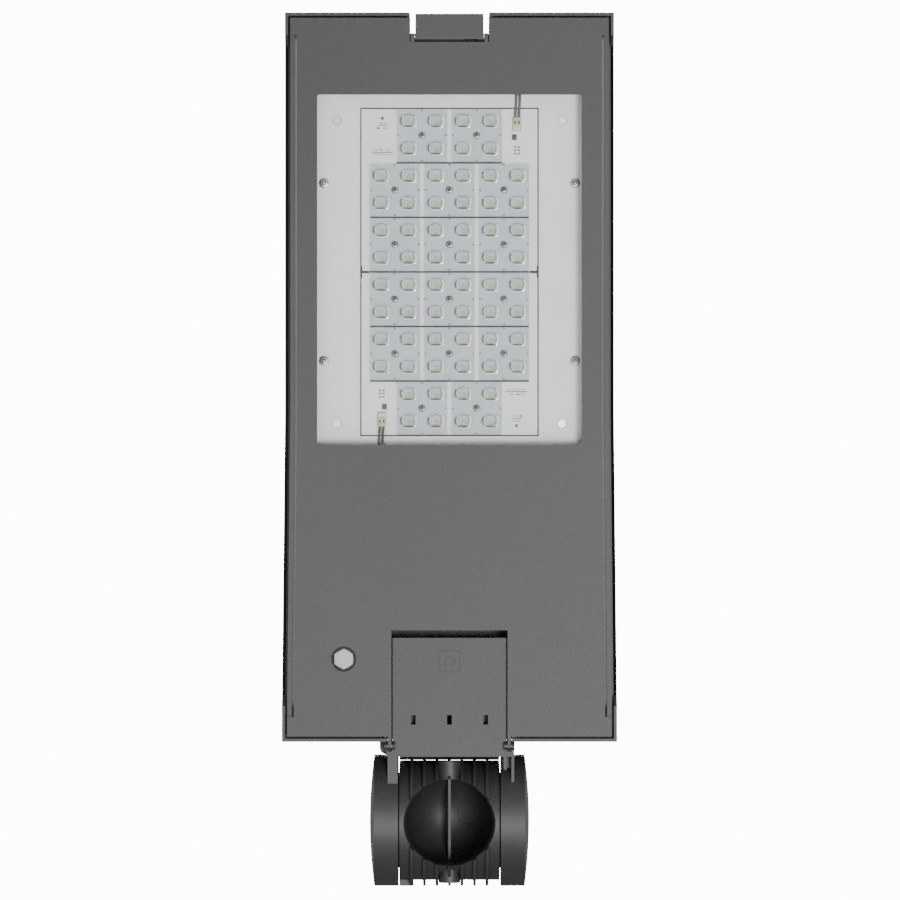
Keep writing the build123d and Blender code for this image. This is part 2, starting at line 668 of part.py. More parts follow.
def tongue(side):
    low, high = sorted((side * TONGUE_X[0], side * TONGUE_X[1]))
    arm = block((low, high), (REAR_Y - 18, HINGE_Y), (DOOR_Z, HINGE_Z + 2))
    arm += rod_x(EYE_R, low, high, *HINGE_AT)
    return arm - rod_x(HINGE_PIN_R + HINGE_FIT, low - 1, high + 1, *HINGE_AT)


def vent_plug():
    x, y = VENT_AT
    floor_z = DOOR_Z + VENT_RECESS
    near, far = VENT_HEAD
    head = hexagon_z(VENT_FLATS, floor_z - far, floor_z - near, x, y, turn=90)
    collar = rod_z(VENT_FLATS / 2 + 0.4, floor_z - near - 0.6, floor_z - near, x, y)
    shank = rod_z(VENT_THREAD_R, floor_z - 1, floor_z + 11, x, y)
    breather = rod_z(VENT_HOLE_R, floor_z - 1, floor_z + 12, x, y)
    return head + collar + shank - breather


def vent_seal():
    x, y = VENT_AT
    floor_z = DOOR_Z + VENT_RECESS
    ring = rod_z(VENT_THREAD_R + 2.4, floor_z - 0.8, floor_z, x, y)
    return ring - rod_z(VENT_THREAD_R, floor_z - 2, floor_z + 1, x, y)


def vent_nut():
    x, y = VENT_AT
    nut = hexagon_z(VENT_FLATS + 1, DOOR_INNER_Z, DOOR_INNER_Z + 4.5, x, y)
    return nut - rod_z(VENT_THREAD_R, DOOR_INNER_Z - 1, DOOR_INNER_Z + 6, x, y)


def window_glass():
    z0 = DOOR_INNER_Z + GLASS_SEAL
    return window_opening(GLASS_LAP, z0, z0 + GLASS_THICK)


def window_gasket():
    z0 = DOOR_INNER_Z
    seat = window_opening(GLASS_LAP + SEAL_BAND, z0, z0 + GLASS_SEAL + GLASS_THICK - 0.6)
    seat -= window_opening(1.6, z0 - 1, z0 + 10)
    return seat - window_opening(GLASS_LAP, z0 + GLASS_SEAL, z0 + 10)


def glass_clip():
    """One clip, foot centred on the origin, step towards +X."""
    foot_z = GLASS_SEAL + GLASS_THICK
    reach = CLIP_FOOT / 2 + 0.3 + SEAL_BAND + 4.0
    clip = block((-CLIP_FOOT / 2, reach), (-CLIP_WIDTH / 2, CLIP_WIDTH / 2), (foot_z, foot_z + CLIP_THICK))
    return clip - rod_z(CLIP_SCREW_R, foot_z - 1, foot_z + 5)


def glass_clips():
    clip = glass_clip()
    return [Pos(x, y, DOOR_INNER_Z) * Rot(0, 0, turn) * clip for x, y, turn in clip_places()]


def clip_screws():
    top = DOOR_INNER_Z + GLASS_SEAL + GLASS_THICK + CLIP_THICK
    screws = []
    for x, y, _ in clip_places():
        screw = rod_z(CLIP_SCREW_R, DOOR_INNER_Z - 1.5, top, x, y) + rod_z(3.3, top, top + 1.8, x, y)
        screws.append(screw - rod_z(1.0, top + 0.8, top + 2, x, y))
    return screws


def door_gasket():
    return ring_slab(SEAL_INSET, SEAL_WIDTH, DOOR_INNER_Z, LEDGE_Z - SEAL_GAP)


# ---- latch ---------------------------------------------------------------
def latch_pin():
    half = LATCH_WIDTH / 2 + LATCH_SIDE_GAP + EAR_WIDTH
    return rod_x(LATCH_PIN_R, -half, half, LATCH_PIN_Y, LATCH_PIN_Z)


def latch_lever():
    half = LATCH_WIDTH / 2
    lever = block((-half, half), (LATCH_NOSE_Y, LATCH_PIN_Y), (DOOR_Z, DOOR_Z + LATCH_PLATE))
    front = lever.edges().filter_by(Axis.X).sort_by(lambda e: e.center().Y + e.center().Z)[0]
    lever = fillet(front, 1.2)
    barrel = rod_x(BARREL_R, -half, half, LATCH_PIN_Y, LATCH_PIN_Z)
    lever += barrel
    lever -= block(SPRING_X, (LATCH_PIN_Y - 4.5, LATCH_PIN_Y + 5), (LATCH_PIN_Z - 3.1, LATCH_PIN_Z + 5))
    lever -= rod_x(LATCH_PIN_R + LATCH_FIT, -half - 1, half + 1, LATCH_PIN_Y, LATCH_PIN_Z)
    low_y, high_y = HOOK_ARM_Y
    low_z, high_z = HOOK_BARB_Z
    lever += block((-HOOK_HALF, HOOK_HALF), (low_y, high_y), (DOOR_Z + 1, high_z))
    barb = block((-HOOK_HALF, HOOK_HALF), (high_y - 1, HOOK_TIP_Y), (low_z, high_z))
    tip = barb.edges().filter_by(Axis.X).sort_by(lambda e: e.center().Y + e.center().Z)[-1]
    lever += chamfer(tip, 2.0)
    for side in (-1, 1):
        x = side * (HOOK_HALF + 6)
        lever += block((x - 1.2, x + 1.2), (LATCH_NOSE_Y + 3, LATCH_PIN_Y - 4), (DOOR_Z + 1, DOOR_Z + 6.5))
    return lever


def latch_spring():
    inner, outer = SPRING_R
    x0, x1 = SPRING_X
    coil = rod_x(outer, x0 + 0.5, x1 - 0.5, LATCH_PIN_Y, LATCH_PIN_Z)
    return coil - rod_x(inner, x0, x1, LATCH_PIN_Y, LATCH_PIN_Z)


# ---- light unit ----------------------------------------------------------
def board_face():
    return SPREADER_Z - BOARD_THICK


def heat_spreader():
    plate = Box(SPREADER_WIDTH, SPREADER_LENGTH, SPREADER_THICK)
    plate = Pos(0, LED_Y, SPREADER_Z + SPREADER_THICK / 2) * plate
    for x, y in light_pillars():
        plate -= rod_z(PLATE_SCREW_R, SPREADER_Z - 1, SPREADER_Z + 10, x, y)
    for x, y in plate_screw_places():
        plate -= rod_z(PLATE_SCREW_R, SPREADER_Z - 1, SPREADER_Z + 10, x, y)
    return plate


def plate_screw_places():
    return [(sx * PLATE_SCREW_X, LED_Y + sy * PLATE_SCREW_Y) for sx in (-1, 1) for sy in (-1, 1)]


def reflector_plate():
    middle_z = REFLECTOR_Z + REFLECTOR_THICK / 2
    plate = Pos(0, LED_Y, middle_z) * Box(REFLECTOR_WIDTH, REFLECTOR_LENGTH, REFLECTOR_THICK)
    width = BOARD_WIDTH + 2 * REFLECTOR_GAP
    length = 2 * BOARD_LENGTH + BOARD_SPLIT + 2 * REFLECTOR_GAP
    plate -= Pos(0, LED_Y, middle_z) * Box(width, length, REFLECTOR_THICK * 3)
    for x, y in plate_screw_places():
        plate -= rod_z(PLATE_SCREW_R, REFLECTOR_Z - 1, REFLECTOR_Z + 5, x, y)
    for x, y in light_pillars():
        plate -= rod_z(PLATE_SCREW_R * 2.2, REFLECTOR_Z - 1, REFLECTOR_Z + 5, x, y)
    return plate


def reflector_spacers():
    z0 = REFLECTOR_Z + REFLECTOR_THICK
    spacers = []
    for x, y in plate_screw_places():
        spacers.append(rod_z(4.5, z0, SPREADER_Z, x, y) - rod_z(PLATE_SCREW_R, z0 - 1, SPREADER_Z + 1, x, y))
    return spacers


def reflector_screws():
    screws = []
    for x, y in plate_screw_places():
        head = rod_z(3.8, REFLECTOR_Z - 2.2, REFLECTOR_Z, x, y)
        shank = rod_z(PLATE_SCREW_R, REFLECTOR_Z, SPREADER_Z + SPREADER_THICK, x, y)
        screws.append(head + shank - rod_z(1.3, REFLECTOR_Z - 3, REFLECTOR_Z - 1, x, y))
    return screws


def spreader_screws():
    screws = []
    for x, y in light_pillars():
        head = rod_z(3.8, SPREADER_Z - 2.4, SPREADER_Z, x, y)
        screws.append(head + rod_z(PLATE_SCREW_R, SPREADER_Z, SPREADER_Z + SPREADER_THICK + 13, x, y))
    return screws


def module_places(board):
    """Centres of the lens modules on board 0 (nose) or board 1 (rear)."""
    pitch = 2 * LED_PITCH
    rows = range(0, 3) if board == 0 else range(3, 6)
    places = []
    for row in rows:
        count = MODULES_IN_ROW[row]
        y = LED_Y + (row - 2.5) * pitch
        places += [((column - (count - 1) / 2) * pitch, y) for column in range(count)]
    return places


def led_board(board):
    side = -1 if board == 0 else 1
    y = LED_Y + side * (BOARD_LENGTH + BOARD_SPLIT) / 2
    plate = Pos(0, y, SPREADER_Z - BOARD_THICK / 2) * Box(BOARD_WIDTH, BOARD_LENGTH, BOARD_THICK)
    for x, place_y in module_places(board):
        plate -= rod_z(MODULE_SCREW_R, SPREADER_Z - 5, SPREADER_Z + 1, x, place_y)
    return plate


def led_chips(board):
    chips = []
    z = board_face() - LED_THICK / 2
    half = LED_PITCH / 2
    for x, y in module_places(board):
        chips += [Pos(x + sx * half, y + sy * half, z) * Box(LED_SIZE, LED_SIZE, LED_THICK)
                  for sx in (-1, 1) for sy in (-1, 1)]
    return chips


def lens_module():
    """One clear plate with four lenses, centred on the origin, its feet at z = 0."""
    half = MODULE_SIZE / 2
    low = -MODULE_STAND - MODULE_PLATE
    plate = block((-half, half), (-half, half), (low, -MODULE_STAND))
    corner = half - 3
    for sx in (-1, 1):
        for sy in (-1, 1):
            plate += rod_z(1.4, -MODULE_STAND - 0.5, 0, sx * corner, sy * corner)
            plate += Pos(sx * LED_PITCH / 2, sy * LED_PITCH / 2, low) * lens_dome()
    return plate - rod_z(MODULE_SCREW_R, low - 1, 1)


def lens_dome():
    across, along = LENS_HALF
    ball = Pos(0, 0, LENS_R - LENS_HEIGHT) * Sphere(LENS_R)
    return ball & block((-across, across), (-along, along), (-LENS_HEIGHT - 1, 0.5))


def lens_modules(board):
    module = lens_module()
    return [Pos(x, y, board_face()) * module for x, y in module_places(board)]


def lens_screws():
    low = board_face() - MODULE_STAND - MODULE_PLATE
    screws = []
    for x, y in module_places(0) + module_places(1):
        screw = rod_z(2.6, low - 1.6, low, x, y) + rod_z(MODULE_SCREW_R, low, SPREADER_Z, x, y)
        screws.append(screw - rod_z(0.8, low - 2, low - 0.8, x, y))
    return screws


def half_turn(shape):
    """The rear board is the front one turned half round."""
    return Pos(0, LED_Y, 0) * Rot(0, 0, 180) * Pos(0, -LED_Y, 0) * shape


def board_connectors():
    x, y = CONNECTOR_AT
    width, length, height = CONNECTOR_SIZE
    z1 = board_face()
    y0 = LED_Y - y - length / 2
    body = block((x - width / 2, x + width / 2), (y0, y0 + length), (z1 - height, z1))
    for step in (-1, 1):
        wire_x = x + step * WIRE_GAP / 2
        body -= rod_y(WIRE_R + WIRE_CLEAR, y0 - 1, y0 + WIRE_DEPTH, wire_x, z1 - height / 2)
    return [body, half_turn(body)]


def board_parts():
    x, y = CONNECTOR_AT
    z1 = board_face()
    chip = Pos(x - 2.4, LED_Y - y + 12.0, z1 - 0.9) * Box(4.4, 5.2, 1.8)
    small = [Pos(x + dx, LED_Y - y + dy, z1 - 0.4) * Box(2.0, 1.2, 0.8)
             for dx in (-1.6, 1.8) for dy in (21.0, 24.0, 27.0)]
    return [chip, half_turn(chip)] + small + [half_turn(s) for s in small]


def tube(points, radii, radius):
    path = FilletPolyline(*points, radius=radii)
    section = Plane(origin=path @ 0, z_dir=path % 0) * Circle(radius)
    return sweep(section, path=path)


def wire_pair_front():
    x, y = CONNECTOR_AT
    start_y = LED_Y - y - CONNECTOR_SIZE[1] / 2 + WIRE_DEPTH - WIRE_END
    z = board_face() - CONNECTOR_SIZE[2] / 2
    above = SPREADER_Z + SPREADER_THICK + 7
    turn_y = LED_Y - REFLECTOR_LENGTH / 2 - 17
    down_y = BATTERY_FRONT_Y - 3.5
    wires = []
    for step in (-1, 1):
        wire_x = x + step * WIRE_GAP / 2
        points = [
            (wire_x, start_y, z), (wire_x + 1, start_y - 19, z - 2.2), (wire_x, turn_y, z - 1),
            (wire_x, turn_y, above), (wire_x, down_y, above), (wire_x, down_y, z - 4),
            (wire_x, CASE_FRONT_Y - 2, z - 4),
        ]
        wires.append(tube(points, [14, 7, 7, 4, 4], WIRE_R))
    return wires


def wire_pair_rear():
    x, y = CONNECTOR_AT
    start_y = LED_Y + y + CONNECTOR_SIZE[1] / 2 - WIRE_DEPTH + WIRE_END
    z = board_face() - CONNECTOR_SIZE[2] / 2
    wires = []
    for step in (-1, 1):
        wire_x = -x + step * WIRE_GAP / 2
        points = [
            (wire_x, start_y, z), (wire_x - 1, start_y + 17, z - 2.6),
            (wire_x, CASE_FRONT_Y - 2, z - 4),
        ]
        wires.append(tube(points, [20], WIRE_R))
    return wires


# ---- battery and controller ----------------------------------------------
def cell_columns():
    return [(index - (CELL_COLUMNS - 1) / 2) * CELL_PITCH for index in range(CELL_COLUMNS)]


def cell_rows():
    first = BATTERY_FRONT_Y + HOLDER_WALL
    return [first, first + CELL_LENGTH + HOLDER_WALL]


def battery_cells():
    return [rod_y(CELL_R, y, y + CELL_LENGTH, x, CELL_AXIS_Z) for y in cell_rows() for x in cell_columns()]


def cell_holder(y0, y1):
    half = CELL_COLUMNS * CELL_PITCH / 2 + 1
    bar = block((-half, half), (y0, y1), (tray_z(), CELL_AXIS_Z + CELL_R + 0.8))
    for row_y in cell_rows():
        for x in cell_columns():
            bar -= rod_y(CELL_R + HOLDER_FIT, row_y, row_y + CELL_LENGTH, x, CELL_AXIS_Z)
    return bar


def cell_holders():
    first, second = cell_rows()
    middle = second - HOLDER_WALL
    end = second + CELL_LENGTH
    return [
        cell_holder(first - HOLDER_WALL, first + HOLDER_DEPTH),
        cell_holder(middle - HOLDER_DEPTH, second + HOLDER_DEPTH),
        cell_holder(end - HOLDER_DEPTH, end + HOLDER_WALL),
    ]


def battery_tray():
    z1 = tray_z()
    y0 = BATTERY_FRONT_Y
    tray = block((-TRAY_HALF, TRAY_HALF), (y0, y0 + TRAY_LENGTH), (z1 - TRAY_THICK, z1))
    for x, y in tray_pillars():
        tray -= rod_z(TRAY_SCREW_R, z1 - 5, z1 + 1, x, y)
    return tray


def tray_screws():
    z0 = tray_z() - TRAY_THICK
    return [rod_z(4.0, z0 - 2.4, z0, x, y) + rod_z(TRAY_SCREW_R, z0, z0 + TRAY_THICK + 11, x, y)
            for x, y in tray_pillars()]


def controller_case():
    z1 = tray_z() - TRAY_THICK
    y = (CASE_FRONT_Y, CASE_FRONT_Y + CASE_LENGTH)
    case = block((-CASE_HALF, CASE_HALF), y, (z1 - CASE_HEIGHT, z1))
    case = fillet(case.faces().sort_by(Axis.Z)[0].edges(), 2.0)
    reach = CASE_HALF + CASE_FLANGE
    case += block((-reach, reach), (y[0] + 8, y[1] - 8), (z1 - 2.0, z1))
    return case


def controller_screws():
    z1 = tray_z() - TRAY_THICK
    x = CASE_HALF + CASE_FLANGE / 2
    places = [(sx * x, y) for sx in (-1, 1) for y in (CASE_FRONT_Y + 18, CASE_FRONT_Y + CASE_LENGTH - 18)]
    return [rod_z(3.6, z1 - 4.2, z1 - 2.0, x, y) for x, y in places]


def terminal_blocks():
    z1 = board_face() - CONNECTOR_SIZE[2] / 2
    blocks = []
    for x in (-CONNECTOR_AT[0], CONNECTOR_AT[0]):
        body = block((x - 6, x + 6), (CASE_FRONT_Y - 7, CASE_FRONT_Y), (z1 - 9, z1 + 1))
        for step in (-1, 1):
            wire_x = x + step * WIRE_GAP / 2
            body -= rod_y(WIRE_R + WIRE_CLEAR, CASE_FRONT_Y - 8, CASE_FRONT_Y, wire_x, z1 - 4)
        blocks.append(body)
    return blocks


def protection_board():
    x, y = BMS_AT
    width, length = BMS_SIZE
    z1 = tray_z() - TRAY_THICK
    board = block((x - width / 2, x + width / 2), (y - length / 2, y + length / 2), (z1 - 4.6, z1 - 3.0))
    for sx in (-1, 1):
        for sy in (-1, 1):
            board += rod_z(2.5, z1 - 3.5, z1, x + sx * (width / 2 - 4), y + sy * (length / 2 - 4))
    board += block((x - 8, x + 8), (y - 28, y + 4), (z1 - 8.0, z1 - 4.0))
    return board


def battery_lead():
    x, y = BMS_AT
    start = x - BMS_SIZE[0] / 2 + 5
    board = tray_z() - TRAY_THICK - 4.6
    points = [(start, y + 30, board), (start, y + 30, board - 7), (CASE_HALF, y + 30, board - 7)]
    return tube(points, [4.5], LEAD_R)


def panel_lead():
    x, y = BOX_AT
    end_y = CASE_FRONT_Y + CASE_LENGTH
    box_z = ROOF_Z - BOX_SIZE[2] / 2
    points = [
        (x, y - BOX_SIZE[1] / 2, box_z), (x, y - BOX_SIZE[1] / 2 - 14, box_z), (x - 6, y - 34, -18.0),
        (x - 44, y - 60, -31.0), (x - 44, end_y, -31.0),
    ]
    return tube(points, [7, 14, 14], LEAD_R)


# ---- solar panel ---------------------------------------------------------
def frame_top_z():
    return TOP_Z + FRAME_HEIGHT


def laminate(thick, z1, trim):
    width = PANEL_WIDTH - 2 * (FRAME_RAIL - FRAME_LIP + LAMINATE_FIT + trim)
    length = PANEL_LENGTH - 2 * (FRAME_RAIL - FRAME_LIP + LAMINATE_FIT + trim)
    return Pos(0, PANEL_Y, z1 - thick / 2) * Box(width, length, thick)


def glass_top_z():
    return frame_top_z() - FRAME_LIP_THICK


def panel_frame():
    middle_z = TOP_Z + FRAME_HEIGHT / 2
    frame = Pos(0, PANEL_Y, middle_z) * Box(PANEL_WIDTH, PANEL_LENGTH, FRAME_HEIGHT)
    frame = fillet(frame.edges().filter_by(Axis.Z), 4.0)
    opening = Pos(0, PANEL_Y, middle_z) * Box(
        PANEL_WIDTH - 2 * FRAME_RAIL, PANEL_LENGTH - 2 * FRAME_RAIL, FRAME_HEIGHT + 2)
    frame -= opening
    thick = PV_GLASS + PV_CELL_THICK + PV_BACK
    frame -= laminate(thick, glass_top_z(), -LAMINATE_FIT)
    for x, y in panel_screw_places():
        frame -= rod_z(PANEL_SCREW_R, TOP_Z - 1, TOP_Z + 6, x, y)
    return frame


def solar_cells():
    z = glass_top_z() - PV_GLASS - PV_CELL_THICK / 2
    width, length = PV_CELL
    cells = []
    for row in range(PV_ROWS):
        for column in range(PV_COLUMNS):
            x = (column - (PV_COLUMNS - 1) / 2) * (width + PV_GAP)
            y = PANEL_Y + (row - (PV_ROWS - 1) / 2) * (length + PV_GAP)
            cells.append(Pos(x, y, z) * Box(width, length, PV_CELL_THICK))
    return cells


def panel_screws():
    return [rod_z(4.5, ROOF_Z - 3.0, ROOF_Z, x, y) + rod_z(PANEL_SCREW_R, ROOF_Z, TOP_Z + 5.5, x, y)
            for x, y in panel_screw_places()]


def panel_junction_box():
    x, y = BOX_AT
    width, length, height = BOX_SIZE
    back_z = glass_top_z() - PV_GLASS - PV_CELL_THICK - PV_BACK
    box = block((x - width / 2, x + width / 2), (y - length / 2, y + length / 2), (ROOF_Z - height, ROOF_Z))
    box = fillet(box.faces().sort_by(Axis.Z)[0].edges(), 2.0)
    return box + rod_z(BOX_STUB_R, ROOF_Z - 0.5, back_z, x, y)


NODES = {
    "spigot_socket": lambda: [spigot_socket()],
    "cable_knockout_plug": lambda: [knockout_plug()],
    "clamp_screws": clamp_screws,
    "pivot_plug_left": lambda: [pivot_plug(-1)],
    "pivot_plug_right": lambda: [pivot_plug(1)],
    "pivot_screws": pivot_screws,
    "friction_washer_left": lambda: [friction_washer(-1)],
    "friction_washer_right": lambda: [friction_washer(1)],
    "top_housing": lambda: [top_housing()],
    "tilt_yoke": lambda: [tilt_yoke()],
    "yoke_bolts": yoke_bolts,
    "cheek_cap_left": lambda: [cheek_cap(-1)],
    "cheek_cap_right": lambda: [cheek_cap(1)],
    "hinge_pins": hinge_pins,
    "latch_striker": lambda: [latch_striker()],
    "striker_screws": striker_screws,
    "heat_spreader": lambda: [heat_spreader()],
    "spreader_screws": spreader_screws,
    "led_board_front": lambda: [led_board(0)],
    "led_board_rear": lambda: [led_board(1)],
    "led_chips_front": lambda: led_chips(0),
    "led_chips_rear": lambda: led_chips(1),
    "lens_modules_front": lambda: lens_modules(0),
    "lens_modules_rear": lambda: lens_modules(1),
    "lens_screws": lens_screws,
    "board_connectors": board_connectors,
    "board_parts": board_parts,
    "reflector_plate": lambda: [reflector_plate()],
    "reflector_spacers": reflector_spacers,
    "reflector_screws": reflector_screws,
    "wire_pair_front": wire_pair_front,
    "wire_pair_rear": wire_pair_rear,
    "battery_cells": battery_cells,
    "cell_holders": cell_holders,
    "battery_tray": lambda: [battery_tray()],
    "tray_screws": tray_screws,
    "controller_case": lambda: [controller_case()],
    "controller_screws": controller_screws,
    "terminal_blocks": terminal_blocks,
    "battery_protection_board": lambda: [protection_board()],
    "battery_lead": lambda: [battery_lead()],
    "panel_lead": lambda: [panel_lead()],
    "panel_frame": lambda: [panel_frame()],
    "panel_glass": lambda: [laminate(PV_GLASS, glass_top_z(), 0)],
    "solar_cells": solar_cells,
    "panel_backsheet": lambda: [laminate(PV_BACK, glass_top_z() - PV_GLASS - PV_CELL_THICK, 0)],
    "panel_screws": panel_screws,
    "panel_junction_box": lambda: [panel_junction_box()],
    "door_panel": lambda: [door_panel()],
    "door_gasket": lambda: [door_gasket()],
    "window_glass": lambda: [window_glass()],
    "window_gasket": lambda: [window_gasket()],
    "glass_clips": glass_clips,
    "clip_screws": clip_screws,
    "vent_plug": lambda: [vent_plug()],
    "vent_seal": lambda: [vent_seal()],
    "vent_nut": lambda: [vent_nut()],
    "latch_pin": lambda: [latch_pin()],
    "latch_lever": lambda: [latch_lever()],
    "latch_spring": lambda: [latch_spring()],
}

for node_name, make in NODES.items():
    save(node_name, *make())
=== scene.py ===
import json
import math

import bpy
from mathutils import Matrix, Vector


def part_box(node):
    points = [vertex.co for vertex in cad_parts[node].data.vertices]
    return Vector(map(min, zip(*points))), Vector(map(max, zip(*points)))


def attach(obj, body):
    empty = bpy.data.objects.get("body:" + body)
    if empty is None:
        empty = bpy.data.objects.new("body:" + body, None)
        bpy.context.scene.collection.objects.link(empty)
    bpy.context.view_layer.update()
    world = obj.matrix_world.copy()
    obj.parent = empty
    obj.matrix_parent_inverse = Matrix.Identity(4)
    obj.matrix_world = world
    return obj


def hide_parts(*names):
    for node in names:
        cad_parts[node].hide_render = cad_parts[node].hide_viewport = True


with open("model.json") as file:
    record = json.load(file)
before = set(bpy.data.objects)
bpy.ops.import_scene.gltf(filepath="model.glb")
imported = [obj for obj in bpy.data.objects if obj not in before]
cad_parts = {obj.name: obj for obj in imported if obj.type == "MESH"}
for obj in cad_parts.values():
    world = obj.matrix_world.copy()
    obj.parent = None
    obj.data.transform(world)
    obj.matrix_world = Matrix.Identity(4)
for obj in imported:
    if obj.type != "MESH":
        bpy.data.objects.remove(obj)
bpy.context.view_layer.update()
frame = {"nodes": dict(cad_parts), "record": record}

MM = 0.001


# ---- colours and nodes ---------------------------------------------------
def linear(hex_code):
    """An sRGB hex colour as the linear values that a shader takes."""
    channels = [int(hex_code[i:i + 2], 16) / 255 for i in (1, 3, 5)]
    return [c / 12.92 if c <= 0.04045 else ((c + 0.055) / 1.055) ** 2.4 for c in channels] + [1.0]


def add(tree, kind, inputs=(), **settings):
    """One shader node with its settings; each input is a socket and a value or the output that feeds it."""
    node = tree.nodes.new("ShaderNode" + kind)
    for setting, value in settings.items():
        setattr(node, setting, value)
    for socket, value in inputs:
        if isinstance(value, bpy.types.NodeSocket):
            tree.links.new(value, node.inputs[socket])
        else:
            node.inputs[socket].default_value = value
    return node


def new_material(name):
    material = bpy.data.materials.new(name)
    material.use_nodes = True
    material.node_tree.nodes.clear()
    return material, material.node_tree


def per_mm(size):
    """The noise scale whose features are size millimetres across, on coordinates in metres."""
    return 1000.0 / size


# ---- materials -----------------------------------------------------------
def powder_coat(name, dark, light, rough):
    """Polyester powder baked on a casting: a matt orange peel with slow patches of tone.
    The peel is drawn 1.3 mm wide, about twice as coarse as it is, so that it shows."""
    material, tree = new_material(name)
    spot = add(tree, "TexCoord").outputs["Object"]
    patches = add(tree, "TexNoise", [("Vector", spot), ("Scale", per_mm(140)), ("Detail", 2.0)]).outputs[0]
    peel = add(tree, "TexNoise", [("Vector", spot), ("Scale", per_mm(1.3)), ("Detail", 3.0)]).outputs[0]
    faint = add(tree, "Math", [(0, patches), (1, 0.2)], operation="MULTIPLY").outputs[0]
    mixed = add(tree, "Math", [(0, faint), (1, peel)], operation="ADD").outputs[0]
    share = add(tree, "MapRange", [("Value", mixed), ("From Min", 0.36), ("From Max", 0.84)]).outputs[0]
    tone = add(tree, "Mix", [
        ("Factor", share), (6, linear(dark)), (7, linear(light))], data_type="RGBA").outputs[2]
    matt = add(tree, "MapRange", [
        ("Value", peel), ("To Min", rough - 0.08), ("To Max", rough + 0.1)]).outputs[0]
    relief = add(tree, "Bump", [("Height", peel), ("Strength", 0.6), ("Distance", 0.12 * MM)]).outputs[0]
    shader = add(tree, "BsdfPrincipled", [
        ("Base Color", tone), ("Roughness", matt), ("Normal", relief), ("IOR", 1.5)])
    add(tree, "OutputMaterial", [("Surface", shader.outputs[0])])
    return material


def metal(name, dark, light, rough, stretch=(1.0, 1.0, 1.0), grain=1.2):
    """Bare metal: its grain is drawn out along one axis where it was brushed, rolled or extruded."""
    material, tree = new_material(name)
    spot = add(tree, "TexCoord").outputs["Object"]
    along = add(tree, "Mapping", [("Vector", spot), ("Scale", stretch)]).outputs[0]
    lines = add(tree, "TexNoise", [("Vector", along), ("Scale", per_mm(grain)), ("Detail", 5.0)]).outputs[0]
    stains = add(tree, "TexNoise", [("Vector", spot), ("Scale", per_mm(30)), ("Detail", 3.0)]).outputs[0]
    share = add(tree, "MapRange", [("Value", stains), ("From Min", 0.3), ("From Max", 0.7)]).outputs[0]
    tone = add(tree, "Mix", [
        ("Factor", share), (6, linear(dark)), (7, linear(light))], data_type="RGBA").outputs[2]
    gloss = add(tree, "MapRange", [
        ("Value", lines), ("To Min", rough - 0.1), ("To Max", rough + 0.12)]).outputs[0]
    relief = add(tree, "Bump", [("Height", lines), ("Strength", 0.25), ("Distance", 0.03 * MM)]).outputs[0]
    shader = add(tree, "BsdfPrincipled", [
        ("Base Color", tone), ("Metallic", 1.0), ("Roughness", gloss), ("Normal", relief)])
    add(tree, "OutputMaterial", [("Surface", shader.outputs[0])])
    return material


def moulded(name, dark, light, rough=0.42, ior=1.48, grain=2.0, relief_mm=0.03):
    """Plastic, rubber, resin or smooth paint: a faint spark-eroded grain under a slightly clouded colour."""
    material, tree = new_material(name)
    spot = add(tree, "TexCoord").outputs["Object"]
    cloud = add(tree, "TexNoise", [("Vector", spot), ("Scale", per_mm(25)), ("Detail", 2.0)]).outputs[0]
    fine = add(tree, "TexNoise", [("Vector", spot), ("Scale", per_mm(grain)), ("Detail", 3.0)]).outputs[0]
    share = add(tree, "MapRange", [("Value", cloud), ("From Min", 0.3), ("From Max", 0.7)]).outputs[0]
    tone = add(tree, "Mix", [
        ("Factor", share), (6, linear(dark)), (7, linear(light))], data_type="RGBA").outputs[2]
    matt = add(tree, "MapRange", [
        ("Value", fine), ("To Min", rough - 0.06), ("To Max", rough + 0.08)]).outputs[0]
    relief = add(tree, "Bump", [("Height", fine), ("Strength", 0.3), ("Distance", relief_mm * MM)]).outputs[0]
    shader = add(tree, "BsdfPrincipled", [
        ("Base Color", tone), ("Roughness", matt), ("Normal", relief), ("IOR", ior)])
    add(tree, "OutputMaterial", [("Surface", shader.outputs[0])])
    return material


def clear(name, tint, ior, gloss, dust):
    """Glass or acrylic: light passes tinted, the surface mirrors more at a slant, and dust lies on it."""
    material, tree = new_material(name)
    spot = add(tree, "TexCoord").outputs["Object"]
    specks = add(tree, "TexNoise", [("Vector", spot), ("Scale", per_mm(9)), ("Detail", 6.0)]).outputs[0]
    veil = add(tree, "MapRange", [
        ("Value", specks), ("From Min", 0.4), ("From Max", 0.8),
        ("To Min", dust / 4), ("To Max", dust)]).outputs[0]
    through = add(tree, "BsdfTransparent", [("Color", linear(tint))]).outputs[0]
    film = add(tree, "BsdfDiffuse", [("Color", linear("#D9DADA"))]).outputs[0]
    mirror = add(tree, "BsdfGlossy", [("Color", linear("#FFFFFF")), ("Roughness", gloss)]).outputs[0]
    facing = add(tree, "LayerWeight", [("Blend", 0.5)]).outputs["Facing"]
    edge = add(tree, "Math", [(0, facing), (1, 4.0)], operation="POWER").outputs[0]
    face_on = (ior - 1) ** 2 / (ior + 1) ** 2
    slant = add(tree, "MapRange", [("Value", edge), ("To Min", face_on), ("To Max", 0.8)]).outputs[0]
    dusty = add(tree, "MixShader", [(0, veil), (1, through), (2, film)]).outputs[0]
    surface = add(tree, "MixShader", [(0, slant), (1, dusty), (2, mirror)]).outputs[0]
    add(tree, "OutputMaterial", [("Surface", surface)])
    return material


